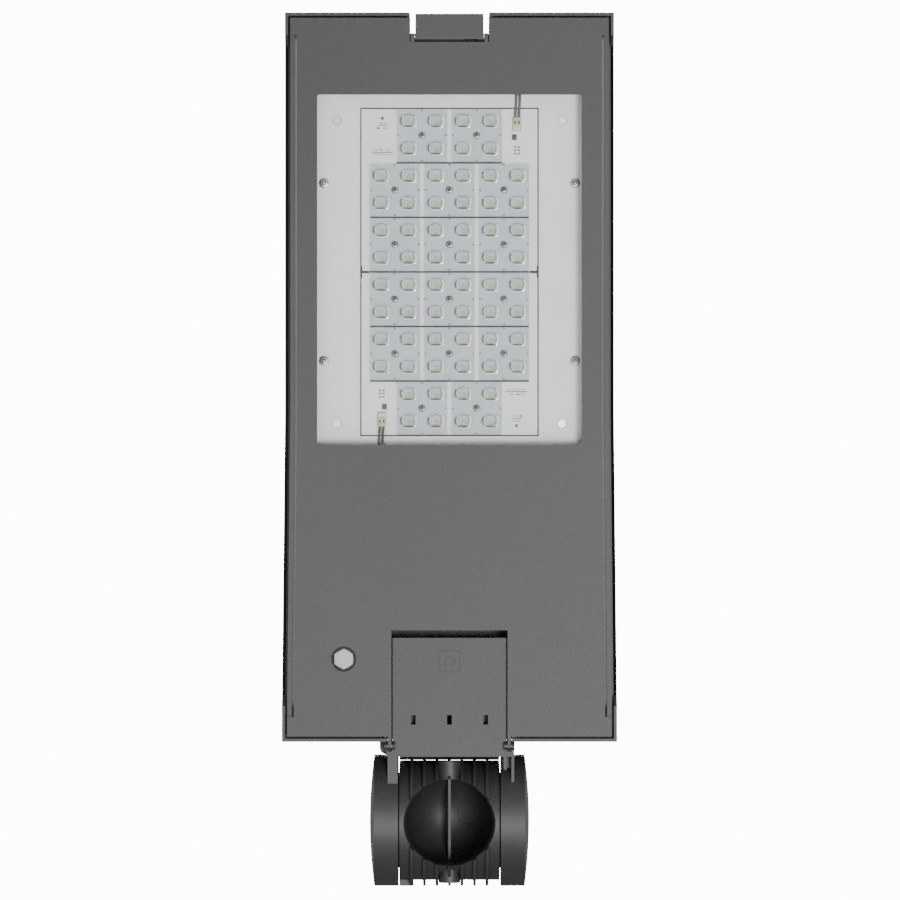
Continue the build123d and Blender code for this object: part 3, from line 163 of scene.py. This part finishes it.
def solar_cell(name):
    """Monocrystalline silicon under its blue-black nitride, with printed silver bars and fine fingers.
    The fingers are drawn 3 mm apart, twice as coarse as they are, so that they show."""
    material, tree = new_material(name)
    spot = add(tree, "TexCoord").outputs["Object"]
    place = add(tree, "SeparateXYZ", [("Vector", spot)])
    silver = []
    for axis, pitch, width in (("X", 12.8, 1.1), ("Y", 3.0, 0.3)):
        along = place.outputs[axis]
        steps = add(tree, "Math", [(0, along), (1, per_mm(pitch))], operation="MULTIPLY").outputs[0]
        part = add(tree, "Math", [(0, steps)], operation="FRACT").outputs[0]
        middle = add(tree, "Math", [(0, part), (1, 0.5)], operation="SUBTRACT").outputs[0]
        off = add(tree, "Math", [(0, middle)], operation="ABSOLUTE").outputs[0]
        edge = width / pitch / 2
        silver.append(add(tree, "Math", [(0, off), (1, edge)], operation="LESS_THAN").outputs[0])
    fingers = add(tree, "Math", [(0, silver[1]), (1, 0.35)], operation="MULTIPLY").outputs[0]
    share = add(tree, "Math", [(0, silver[0]), (1, fingers)], operation="MAXIMUM").outputs[0]
    grain = add(tree, "TexNoise", [("Vector", spot), ("Scale", per_mm(40)), ("Detail", 2.0)]).outputs[0]
    blue = add(tree, "Mix", [
        ("Factor", grain), (6, linear("#0D1530")), (7, linear("#172349"))], data_type="RGBA").outputs[2]
    tone = add(tree, "Mix", [
        ("Factor", share), (6, blue), (7, linear("#B9BCC2"))], data_type="RGBA").outputs[2]
    shader = add(tree, "BsdfPrincipled", [("Base Color", tone), ("Roughness", 0.28), ("IOR", 1.9)])
    add(tree, "OutputMaterial", [("Surface", shader.outputs[0])])
    return material


PAINTED_CASTING = powder_coat("powder_coated_cast_aluminium", "#242426", "#353538", 0.5)
STEEL = metal("stainless_steel", "#B4B4B2", "#CDCDCB", 0.3)
ALUMINIUM = metal("rolled_aluminium", "#A2A3A4", "#B6B7B8", 0.42, (0.05, 1.0, 1.0))
BLACK_ANODISED = metal("black_anodised_aluminium", "#2C2C2E", "#38383A", 0.36, (1.0, 0.05, 1.0), 0.8)
WHITE_STEEL = moulded("white_painted_steel", "#F3F3F4", "#F8F8F8", 0.5, 1.5, 1.0)
WINDOW_GLASS = clear("toughened_window_glass", "#FDFEFD", 1.5, 0.02, 0.012)
SOLAR_GLASS = clear("low_iron_solar_glass", "#EEF4F4", 1.45, 0.12, 0.04)
ACRYLIC = clear("clear_acrylic", "#F6F8FA", 1.49, 0.04, 0.03)
# White acrylic for the arcs on the lenses: painted highlights that stand in for the softbox reflections.
PAINTED_HIGHLIGHT_ACRYLIC = moulded("acrylic_painted_highlight", "#F6F7F8", "#FFFFFF", 0.25, 1.49, 0.8)
# Dark acrylic for the marks on the lenses: painted shade and painted dark reflections, not a real prism.
PAINTED_SHADE_ACRYLIC = moulded("acrylic_painted_shade", "#4A4F55", "#5E646A", 0.2, 1.49, 0.8)
BOARD_WHITE = moulded("white_solder_mask", "#F0F1F3", "#F6F7F8", 0.4, 1.5)
PHOSPHOR = moulded("led_phosphor", "#EBD592", "#F4E4B4", 0.35)
CERAMIC = moulded("white_led_ceramic", "#F3F1E2", "#FAF8EC", 0.4)
NYLON_BEIGE = moulded("beige_nylon", "#CDBE9C", "#D9CCAE", 0.45)
EPOXY_BLACK = moulded("black_epoxy", "#1B1C1E", "#26272A", 0.35)
BOARD_GREEN = moulded("green_solder_mask", "#1D5B3A", "#246B45", 0.32)
WIRE_GREY = moulded("grey_silicone_wire", "#3C4043", "#505456", 0.45)
CABLE_BLACK = moulded("black_rubber_cable", "#161718", "#202122", 0.5)
RUBBER = moulded("foamed_silicone", "#1A1A1B", "#262627", 0.68, 1.45, 0.8, 0.08)
VENT_GREY = moulded("light_grey_polyamide", "#A9ABAC", "#B5B7B8", 0.42)
NUT_GREY = moulded("grey_polyamide", "#8E9091", "#9B9D9E", 0.5)
LINING = moulded("fibre_washer", "#3A3632", "#4A453F", 0.75, 1.45, 0.7, 0.06)
SLEEVE = moulded("blue_cell_sleeve", "#1C5E9C", "#246DB0", 0.3)
SILICON = solar_cell("monocrystalline_silicon")
BACKSHEET = moulded("white_laminate_film", "#D9DBDC", "#E4E6E6", 0.55)

SLOT_MATERIALS = {
    "anthracite_paint": PAINTED_CASTING, "stainless_steel": STEEL, "bare_aluminium": ALUMINIUM,
    "anodised_aluminium": BLACK_ANODISED, "white_paint": WHITE_STEEL, "window_glass": WINDOW_GLASS,
    "panel_glass": SOLAR_GLASS, "lens_acrylic": ACRYLIC, "board_white": BOARD_WHITE,
    "led_phosphor": PHOSPHOR, "connector_beige": NYLON_BEIGE, "component_black": EPOXY_BLACK,
    "board_green": BOARD_GREEN, "cable_grey": WIRE_GREY, "cable_black": CABLE_BLACK,
    "seal_rubber": RUBBER, "vent_plastic": VENT_GREY, "nut_plastic": NUT_GREY,
    "friction_lining": LINING, "cell_sleeve": SLEEVE, "silicon_cell": SILICON,
    "backsheet_white": BACKSHEET,
}


def dress_cad_nodes():
    """Gives every CAD node the material of its slot."""
    for entry in frame["record"]["subparts"]:
        mesh = frame["nodes"][entry["node"]].data
        mesh.materials.clear()
        mesh.materials.append(SLOT_MATERIALS[entry["material_slot"]])


# ---- making --------------------------------------------------------------
def deselect():
    if bpy.context.object and bpy.context.object.mode != "OBJECT":
        bpy.ops.object.mode_set(mode="OBJECT")
    bpy.ops.object.select_all(action="DESELECT")


def settle(name, material):
    """Leaves the active piece named, painted and with its place in its mesh."""
    if bpy.context.object.mode != "OBJECT":
        bpy.ops.object.mode_set(mode="OBJECT")
    piece = bpy.context.object
    piece.name = name
    bpy.ops.object.transform_apply(location=True, rotation=True, scale=True)
    piece.data.materials.clear()
    piece.data.materials.append(material)
    return piece


def stack(name, material, at, levels, corner=0.0, segments=3):
    """A body grown from a rounded rectangle: levels are (height, width, length, shift in Y) in millimetres,
    with heights measured towards the ground."""
    deselect()
    x, y, z = at
    height, width, length, shift = levels[0]
    centre = Vector((x, y + shift, z - height)) * MM
    bpy.ops.mesh.primitive_plane_add(size=MM, location=centre, enter_editmode=True)
    bpy.ops.transform.resize(value=(width, length, 1), center_override=centre)
    if corner:
        bpy.ops.mesh.bevel(offset=corner * MM, segments=segments, affect="VERTICES")
    for above, wide, long, moved in levels[1:]:
        bpy.ops.mesh.extrude_region_move(
            TRANSFORM_OT_translate={"value": (0, (moved - shift) * MM, (height - above) * MM)})
        centre = Vector((x, y + moved, z - above)) * MM
        bpy.ops.transform.resize(value=(wide / width, long / length, 1), center_override=centre)
        height, width, length, shift = above, wide, long, moved
    bpy.ops.mesh.select_all(action="SELECT")
    bpy.ops.mesh.normals_make_consistent(inside=False)
    return settle(name, material)


def turned(name, material, at, profile, sides=24):
    """A turned part with its axis along Z: profile is (height, radius) in millimetres, towards the ground."""
    deselect()
    x, y, z = at
    height, radius = profile[0]
    centre = Vector((x, y, z - height)) * MM
    bpy.ops.mesh.primitive_circle_add(
        vertices=sides, radius=radius * MM, fill_type="NGON", location=centre, enter_editmode=True)
    for above, wide in profile[1:]:
        bpy.ops.mesh.extrude_region_move(TRANSFORM_OT_translate={"value": (0, 0, (height - above) * MM)})
        centre = Vector((x, y, z - above)) * MM
        bpy.ops.transform.resize(value=(wide / radius, wide / radius, 1), center_override=centre)
        height, radius = above, wide
    bpy.ops.mesh.select_all(action="SELECT")
    bpy.ops.mesh.normals_make_consistent(inside=False)
    piece = settle(name, material)
    bpy.ops.object.shade_smooth_by_angle(angle=math.radians(35))
    return piece


def arc_bar(name, material, at, radius, thick, start, turn):
    """A bar bent round the Z axis through at, from the angle start through turn, in degrees."""
    deselect()
    centre = Vector(at) * MM
    heading = math.radians(start)
    first = centre + Vector((math.cos(heading), math.sin(heading), 0)) * radius * MM
    bpy.ops.mesh.primitive_circle_add(
        vertices=6, radius=thick * MM, fill_type="NGON", location=first,
        rotation=(math.pi / 2, 0, heading), enter_editmode=True)
    bpy.ops.mesh.spin(steps=6, angle=-math.radians(turn), center=centre, axis=(0, 0, 1))
    bpy.ops.mesh.select_all(action="SELECT")
    bpy.ops.mesh.remove_doubles(threshold=1e-6)
    bpy.ops.mesh.normals_make_consistent(inside=False)
    return settle(name, material)


def joined(name, pieces):
    deselect()
    for piece in pieces:
        piece.select_set(True)
    bpy.context.view_layer.objects.active = pieces[0]
    if len(pieces) > 1:
        bpy.ops.object.join()
    bpy.context.object.name = name
    return bpy.context.object


def fused(piece, other):
    """Melts other into piece, as one moulding."""
    deselect()
    piece.select_set(True)
    bpy.context.view_layer.objects.active = piece
    melt = piece.modifiers.new("melt", "BOOLEAN")
    melt.operation = "UNION"
    melt.object = other
    bpy.ops.object.modifier_apply(modifier="melt")
    deselect()
    other.select_set(True)
    bpy.ops.object.delete()


def copied(piece, places):
    """piece at every place: each copy has its own mesh, and place is how far it moves, in millimetres."""
    copies = []
    name = piece.name.split(".")[0]
    for dx, dy in places:
        deselect()
        piece.select_set(True)
        bpy.context.view_layer.objects.active = piece
        bpy.ops.object.duplicate_move(TRANSFORM_OT_translate={"value": (dx * MM, dy * MM, 0)})
        bpy.ops.object.transform_apply(location=True, rotation=False, scale=False)
        copies.append(bpy.context.object)
    deselect()
    piece.select_set(True)
    bpy.ops.object.delete()
    return joined(name, copies)


def fit(piece, body, slot, *nodes):
    """Fixes a finished piece to its body, in place of CAD nodes; slot is not used."""
    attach(piece, body)
    if nodes:
        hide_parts(*nodes)


# ---- places, in millimetres, read off the frame ---------------------------
def islands(node):
    """The centre and size of each loose body of a CAD node, in millimetres."""
    mesh = frame["nodes"][node].data
    owner = {}
    for vertex in mesh.vertices:
        key = tuple(round(c, 6) for c in vertex.co)
        owner.setdefault(key, key)

    def root(key):
        while owner[key] != key:
            owner[key] = owner[owner[key]]
            key = owner[key]
        return key

    keys = [tuple(round(c, 6) for c in vertex.co) for vertex in mesh.vertices]
    for face in mesh.polygons:
        first = root(keys[face.vertices[0]])
        for index in face.vertices[1:]:
            owner[root(keys[index])] = first
    groups = {}
    for key in owner:
        groups.setdefault(root(key), []).append(key)
    found = []
    for points in groups.values():
        low = Vector([min(p[i] for p in points) for i in range(3)]) / MM
        high = Vector([max(p[i] for p in points) for i in range(3)]) / MM
        found.append(((low + high) / 2, high - low))
    return sorted(found, key=lambda item: (round(item[0].y), round(item[0].x)))


# ---- light unit ----------------------------------------------------------
PLATE_Z = -28.9           # the back of the lens plates
PLATE_FACE = 1.7          # from there to their front
LENS_STEP = 12.6          # from the middle of a module to a lens
SHADE_STRIP_STEP = 2 * LENS_STEP # from the middle of a module to the dark strip beyond it, painted shade


def lens_places(modules):
    return [(x + sx * LENS_STEP, y + sy * LENS_STEP) for x, y in modules for sx in (-1, 1) for sy in (-1, 1)]


def shifts(places):
    first = places[0]
    return [(x - first[0], y - first[1]) for x, y in places]


def light_unit(end):
    """The lens mouldings of one board. Each lens gets white arcs that are painted highlights, and dark marks
    that are painted shade and painted dark reflections.
    """
    modules = [(c.x, c.y) for c, size in islands("lens_modules_" + end)]
    lenses = lens_places(modules)
    x, y = modules[0]
    plate = stack("lens_plate", ACRYLIC, (x, y, PLATE_Z), [
        (0, 46.6, 49.0, 0), (PLATE_FACE, 46.6, 49.0, 0), (PLATE_FACE + 0.5, 46.2, 48.6, 0),
        (PLATE_FACE + 0.5, 45.0, 47.4, 0), (PLATE_FACE, 44.6, 47.0, 0)], 1.5)
    face = PLATE_Z - PLATE_FACE
    for lens_x, lens_y in lens_places(modules[:1]):
        dome = stack("lens_dome", ACRYLIC, (lens_x, lens_y, face), [
            (-0.6, 15.6, 12.9, 0), (0.9, 15.2, 12.5, 0), (1.1, 13.0, 10.8, 0), (3.6, 11.9, 9.8, -0.2),
            (5.0, 9.4, 7.8, -0.4), (5.7, 6.0, 5.0, -0.5)], 4.2, 4)
        fused(plate, dome)
    optics = copied(plate, shifts(modules))
    optics.name = "clear_lenses_" + end
    fit(optics, "head", "lens_acrylic", "lens_modules_" + end)
    x, y = lenses[0]
    z = face - 1.6
    # White arcs on the flanks of each lens: painted highlights, not real reflections.
    right = arc_bar("right_flank", PAINTED_HIGHLIGHT_ACRYLIC, (x + 0.2, y - 1.0, z), 6.7, 1.3, -38, 76)
    low_edge = arc_bar("lower_flank", PAINTED_HIGHLIGHT_ACRYLIC, (x, y - 6.5, z), 12.4, 0.6, 70, 40)
    left = arc_bar("left_flank", PAINTED_HIGHLIGHT_ACRYLIC, (x - 0.2, y - 1.0, z), 5.6, 0.8, 148, 64)
    lens_highlights = copied(joined("painted_lens_highlights_" + end, [right, low_edge, left]), shifts(lenses))
    fit(lens_highlights, "head", "lens_acrylic")
    # A dark dash below each lens, a dark arc on its left and a faint dark arc on top: painted shade and
    # painted dark reflections.
    dash = stack("dash", PAINTED_SHADE_ACRYLIC, (x, y + 4.4, face), [(1.2, 8.6, 1.3, 0), (2.2, 8.2, 1.0, 0)], 0.4, 2)
    shade = arc_bar("shade", PAINTED_SHADE_ACRYLIC, (x - 0.2, y - 0.8, z), 6.9, 0.5, 150, 60)
    brow = arc_bar("brow", PAINTED_SHADE_ACRYLIC, (x, y + 3.0, z), 9.6, 0.2, 245, 50)
    lens_shade_marks = copied(joined("painted_lens_shade_" + end, [dash, shade, brow]), shifts(lenses))
    fit(lens_shade_marks, "head", "lens_acrylic")
    return modules, lenses


def led_dies(end, lenses):
    """A ceramic package with a low phosphor pad on it for every lens."""
    x, y = lenses[0]
    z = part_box("led_chips_" + end)[1].z / MM
    package = stack("led_package", CERAMIC, (x - 0.4, y, z), [
        (0, 7.0, 6.0, 0), (0.5, 7.0, 6.0, 0), (0.62, 6.6, 5.6, 0)], 0.6, 2)
    packages = copied(package, shifts(lenses))
    packages.name = "led_packages_" + end
    fit(packages, "head", "led_phosphor", "led_chips_" + end)
    die = stack("led_die", PHOSPHOR, (x + 0.8, y + 0.2, z), [
        (0.62, 5.0, 5.0, 0), (0.8, 4.8, 4.8, 0), (0.9, 3.8, 3.8, 0)], 1.2, 2)
    dies = copied(die, shifts(lenses))
    dies.name = "led_phosphor_domes_" + end
    fit(dies, "head", "led_phosphor")


def module_hardware(modules):
    """At the middle of each module a steel ring and a black recessed screw top on a black washer,
    and a black peg near each edge, whose black is painted shade for the shadow that the peg casts."""
    x, y = modules[0]
    face = PLATE_Z - PLATE_FACE
    washer = turned("washer", EPOXY_BLACK, (x, y, face), [(0.02, 3.1), (0.5, 3.1), (0.7, 2.8)], 20)
    washers = copied(washer, shifts(modules))
    washers.name = "lens_screw_washers"
    fit(washers, "head", "component_black")
    ring = turned("ring", STEEL, (x, y, face), [(0.7, 2.3), (0.9, 2.3), (1.0, 2.1)], 18)
    top = turned("head", EPOXY_BLACK, (x, y, face), [
        (1.0, 1.7), (1.4, 1.6), (1.6, 1.2), (1.6, 0.7), (1.1, 0.6)], 14)
    tops = copied(top, shifts(modules))
    tops.name = "lens_screw_tops"
    fit(tops, "head", "component_black")
    heads = copied(ring, shifts(modules))
    heads.name = "lens_screw_heads"
    fit(heads, "head", "stainless_steel", "lens_screws")
    # The pegs are black so that they paint the shadow that a peg casts: painted shade.
    pegs = []
    for dx, dy in ((-22.0, 0), (22.0, 0), (0, -23.3), (0, 23.3)):
        pegs.append(turned("peg", EPOXY_BLACK, (x + dx, y + dy, face), [
            (0.0, 0.7), (0.6, 0.7), (0.8, 0.4)], 8))
    pegs = copied(joined("lens_pegs_with_painted_shadow", pegs), shifts(modules))
    fit(pegs, "head", "component_black")


SHORT_SHADE_STRIP = 98.0         # beside the rows with two modules
LONG_SHADE_STRIP = 147.0         # beside the rows with three


def module_shade_strips():
    """The dark strips between the rows of modules and round the boards, painted shade that stands in for the
    shaded gaps there, and a T-shaped stop on each side where the boards meet."""
    shade_strips = []
    board_low, board_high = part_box("led_board_front")
    rear_low, rear_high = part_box("led_board_rear")
    z = board_low.z / MM
    rows = sorted({round(c.y, 1) for end in ("front", "rear") for c, s in islands("lens_modules_" + end)})
    steps = [(a + b) / 2 for a, b in zip(rows, rows[1:])]
    last = rows[-1] + SHADE_STRIP_STEP
    # Each strip between two rows is black rubber that stands in for the shaded gap there: painted shade.
    for y in steps + [last]:
        wide = SHORT_SHADE_STRIP if y in (steps[0], last) else LONG_SHADE_STRIP
        shade_strips.append(stack("seal", RUBBER, (0, y, z), [(0, wide, 1.5, 0), (1.5, wide, 1.2, 0)]))
    left, right = board_low.x / MM, board_high.x / MM
    front, back = board_low.y / MM, rear_high.y / MM
    wide, long = right - left, back - front
    for x in (left, right):
        shade_strips.append(stack("edge", RUBBER, (x, (front + back) / 2, z), [
            (0, 1.5, long, 0), (0.3, 1.4, long, 0)]))
    for y in (front, back):
        shade_strips.append(stack("edge", RUBBER, (0, y, z), [(0, wide, 1.5, 0), (0.3, wide, 1.4, 0)]))
    split = (board_high.y + rear_low.y) / 2 / MM
    for side in (-1, 1):
        x = right if side > 0 else left
        shade_strips.append(stack("stem", RUBBER, (x - side * 4.0, split, z), [
            (0, 8.0, 2.2, 0), (0.35, 8.0, 2.0, 0)]))
        shade_strips.append(stack("bar", RUBBER, (x - side * 0.4, split, z), [
            (0, 2.0, 11.0, 0), (0.4, 1.8, 10.6, 0)]))
    fit(joined("board_shade_strips_and_stops", shade_strips), "head", "seal_rubber")


def plate_screws():
    """Flanged heads with a round socket and a pin in it, and a black disc in each socket that is painted
    shade for its depth.
    """
    places = [(c.x, c.y) for c, size in islands("reflector_screws")]
    x, y = places[0]
    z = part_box("reflector_plate")[0].z / MM
    flange = turned("flange", STEEL, (x, y, z), [
        (0, 4.6), (0.5, 4.6), (0.8, 4.2), (0.9, 3.5), (1.7, 3.3), (2.1, 2.7), (2.1, 2.2), (0.9, 2.2)], 28)
    pin = turned("pin", STEEL, (x, y, z), [(0.8, 0.9), (1.9, 0.9), (2.0, 0.7)], 12)
    heads = copied(joined("plate_screw_heads", [flange, pin]), shifts(places))
    fit(heads, "head", "stainless_steel", "reflector_screws")
    # A black disc in the socket: painted shade for the depth of the steel socket.
    well = turned("well", EPOXY_BLACK, (x, y, z), [(1.0, 2.15), (1.15, 2.15), (1.2, 1.9)], 18)
    wells = copied(well, shifts(places))
    wells.name = "plate_screw_socket_shade"
    fit(wells, "head", "component_black")


def connectors():
    """Two-pole push-in blocks: a base, a tower with two black pads that paint the shade of its mouths, and
    two pale release buttons.
    """
    made = []
    mouths = []
    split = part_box("led_board_front")[1].y / MM
    for centre, size in islands("board_connectors"):
        x, y, z = centre
        turn = 1 if y < split else -1
        face = z + size.z / 2
        wide, long, top = size.x, size.y, size.z
        made.append(stack("base", NYLON_BEIGE, (x, y, face), [
            (0, wide, long, 0), (top - 1.6, wide, long, 0), (top - 1.2, wide - 0.8, long - 0.8, 0)], 0.5, 2))
        made.append(stack("tower", NYLON_BEIGE, (x, y - turn * 1.6, face), [
            (top - 1.3, wide - 0.8, 7.4, 0), (top - 0.3, wide - 0.8, 7.4, 0),
            (top, wide - 1.4, 6.8, 0)], 0.5, 2))
        for side in (-1, 1):
            # Flat black pads in place of the openings: painted shade.
            mouths.append(stack("mouth", EPOXY_BLACK, (x + side * 1.75, y - turn * 1.6, face), [
                (top - 0.2, 1.6, 3.4, 0), (top + 0.03, 1.6, 3.4, 0)], 0.7, 3))
            made.append(stack("latch_button", CERAMIC, (x + side * 1.75, y + turn * 4.2, face), [
                (top - 1.3, 2.2, 2.6, 0), (top - 0.5, 2.0, 2.2, 0)], 0.3, 2))
    fit(joined("board_connector_blocks", made), "head", "connector_beige", "board_connectors")
    fit(joined("connector_mouth_shade", mouths), "head", "component_black")


# Place from the middle of the two boards, then width and length.
BOARD_MARKS = [
    (-62.0, -142.0, 2.6, 2.6), (-62.0, -137.6, 7.0, 0.7), (-62.0, -135.4, 9.0, 0.7),
    (-66.0, -133.0, 3.0, 1.4), (-59.5, -133.0, 5.0, 0.6), (-68.0, -113.0, 2.0, 0.9),
    (-63.5, -113.0, 4.0, 0.9), (-57.5, -113.0, 2.4, 0.9), (-62.0, -110.6, 20.0, 0.8),
    (-62.0, -108.8, 16.0, 0.5),
]


def board_print():
    """Plain printed bars at one corner of each board, with no lettering."""
    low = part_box("led_board_front")[0]
    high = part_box("led_board_rear")[1]
    centre = (low.y + high.y) / 2 / MM
    z = low.z / MM
    marks = []
    for turn in (1, -1):
        for x, y, wide, long in BOARD_MARKS:
            marks.append(stack("mark", WIRE_GREY, (turn * x, centre + turn * y, z), [
                (0, wide, long, 0), (0.06, wide, long, 0)], 0.2, 1))
    fit(joined("board_tracks", marks), "head", "component_black")


# ---- latch and vent ------------------------------------------------------
def torsion_spring():
    """The latch spring: a helix of round wire round the pin."""
    low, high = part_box("latch_spring")
    deselect()
    turns = 9
    radius = (high.y - low.y) / 2 - 0.5 * MM
    centre = (low + high) / 2
    length = high.x - low.x - 1.0 * MM
    bpy.ops.mesh.primitive_circle_add(
        vertices=8, radius=0.45 * MM, fill_type="NOTHING",
        location=(0, radius, 0), rotation=(math.pi / 2, 0, math.pi / 2))
    bpy.ops.object.transform_apply(location=True, rotation=True, scale=True)
    coil = bpy.context.object
    twist = coil.modifiers.new("coil", "SCREW")
    twist.axis = "X"
    twist.angle = 2 * math.pi * turns
    twist.screw_offset = length
    twist.steps = twist.render_steps = 20 * turns
    bpy.ops.object.modifier_apply(modifier="coil")
    bpy.ops.object.mode_set(mode="EDIT")
    bpy.ops.mesh.select_all(action="SELECT")
    bpy.ops.mesh.normals_make_consistent(inside=False)
    bpy.ops.mesh.select_all(action="DESELECT")
    bpy.ops.mesh.select_non_manifold()
    bpy.ops.mesh.edge_face_add()
    bpy.ops.object.mode_set(mode="OBJECT")
    coil.location = centre - Vector((length / 2, 0, 0))
    spring = settle("latch_torsion_spring", STEEL)
    fit(spring, "latch", "stainless_steel", "latch_spring")


VENT_FLATS = 17.0         # between two flats of the hexagon


def vent():
    """A hexagon head with eased corners on a round collar and a plain shank, over a dark rubber washer that
    covers the whole recess, so that it is partly a real washer and partly painted shade in the recess.
    """
    low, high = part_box("vent_plug")
    x, y = (low.x + high.x) / 2 / MM, (low.y + high.y) / 2 / MM
    top = low.z / MM
    deselect()
    bpy.ops.mesh.primitive_circle_add(
        vertices=6, radius=VENT_FLATS / math.sqrt(3) * MM, fill_type="NGON",
        location=Vector((x, y, top + 3.8)) * MM, enter_editmode=True)
    bpy.ops.mesh.bevel(offset=0.8 * MM, segments=3, affect="VERTICES")
    for step, share in ((-2.9, 1.0), (-0.6, 0.955), (-0.3, 0.86)):
        bpy.ops.mesh.extrude_region_move(TRANSFORM_OT_translate={"value": (0, 0, step * MM)})
        bpy.ops.transform.resize(value=(share, share, 1), center_override=Vector((x, y, top)) * MM)
    bpy.ops.mesh.select_all(action="SELECT")
    bpy.ops.mesh.normals_make_consistent(inside=False)
    head = settle("head", VENT_GREY)
    collar = turned("collar", VENT_GREY, (x, y, top + 4.4), [(0, 8.9), (0.6, 8.9), (0.9, 8.5)], 36)
    shank = turned("shank", VENT_GREY, (x, y, high.z / MM), [
        (0, 5.2), (0.6, 5.9), (high.z / MM - top - 4.2, 5.9)], 28)
    fit(joined("breather_plug", [head, collar, shank]), "door", "vent_plastic", "vent_plug")
    # Wider than the real vent seal: its black spread over the recess floor is painted shade.
    washer = turned("breather_washer_and_recess_shade", RUBBER, (x, y, top + 4.6), [(0.02, 11.4), (0.2, 11.4)], 48)
    fit(washer, "door", "seal_rubber")


GAP_SEAL_SIDE = 55.0      # from the middle of the head to a block
GAP_SEAL_Y = -76.1
GAP_SEAL_Z = -18.0


def rear_gap_seals():
    """Rubber blocks that close the gap on each side of the neck where it leaves the housing."""
    blocks = [stack("seal", RUBBER, (side * GAP_SEAL_SIDE, GAP_SEAL_Y, GAP_SEAL_Z), [
        (0, 4.4, 2.4, 0), (1.6, 4.4, 2.4, 0), (2.0, 3.8, 1.9, 0)]) for side in (-1, 1)]
    fit(joined("rear_gap_seals", blocks), "head", "seal_rubber")


# ---- floor, light and camera ---------------------------------------------
FLOOR_Z = -7.5            # metres, below the camera, since the lamp hangs high over it


def floor():
    deselect()
    bpy.ops.mesh.primitive_plane_add(size=60, location=(0, 0, FLOOR_Z))
    settle("floor", moulded("pale_floor", "#E6E6E6", "#EAEAEA", 0.8))


# Name, place, the point it faces, width and height in metres, and power in watts.
SOFTBOXES = [
    ("key_softbox", (1.3, 0.6, -6.3), (0, -0.3, 0), (1.4, 1.4), 375),
    ("low_softbox", (-1.4, 1.6, -5.0), (0, -0.1, 0), (2.2, 2.2), 60),
    ("top_softbox", (0, -2.4, 3.0), (0, -0.4, 0), (2.4, 2.4), 700),
    ("left_softbox", (-3.4, -0.8, 0.3), (0, -0.4, 0), (1.6, 1.6), 120),
    ("right_softbox", (3.4, -0.8, 0.3), (0, -0.4, 0), (1.6, 1.6), 120),
]


def softbox(name, at, aim, size, power):
    deselect()
    bpy.ops.object.light_add(type="AREA", location=at)
    lamp = bpy.context.object
    lamp.name = name
    lamp.data.shape = "RECTANGLE"
    lamp.data.size, lamp.data.size_y = size
    lamp.data.energy = power
    lamp.rotation_euler = (Vector(aim) - Vector(at)).to_track_quat("-Z", "Y").to_euler()


SEEN_WHITE = 13.0         # strength of the surround where the camera looks at it
LIT_WHITE = 0.22          # and where it only lights the lamp


def studio():
    """An even white surround that is brighter where the camera sees it than where it lights."""
    world = bpy.data.worlds.new("studio_white")
    world.use_nodes = True
    tree = world.node_tree
    tree.nodes.clear()
    seen = add(tree, "Background", [("Color", linear("#FFFFFF")), ("Strength", SEEN_WHITE)]).outputs[0]
    lit = add(tree, "Background", [("Color", linear("#FFFFFF")), ("Strength", LIT_WHITE)]).outputs[0]
    straight = add(tree, "LightPath").outputs["Is Camera Ray"]
    both = add(tree, "MixShader", [(0, straight), (1, lit), (2, seen)]).outputs[0]
    add(tree, "OutputWorld", [("Surface", both)])
    bpy.context.scene.world = world


def camera():
    """Looks straight up at the underside from six metres, with the nose at the top of the frame."""
    deselect()
    bpy.ops.object.camera_add(location=(0.0005, -0.3435, -6.055), rotation=(math.pi, 0, 0))
    view = bpy.context.object
    view.name = "camera"
    view.data.lens = 260.9
    bpy.context.scene.camera = view


dress_cad_nodes()
front_modules, front_lenses = light_unit("front")
rear_modules, rear_lenses = light_unit("rear")
led_dies("front", front_lenses)
led_dies("rear", rear_lenses)
module_hardware(front_modules + rear_modules)
module_shade_strips()
plate_screws()
connectors()
board_print()
torsion_spring()
vent()
rear_gap_seals()
floor()
for box in SOFTBOXES:
    softbox(*box)
studio()
camera()
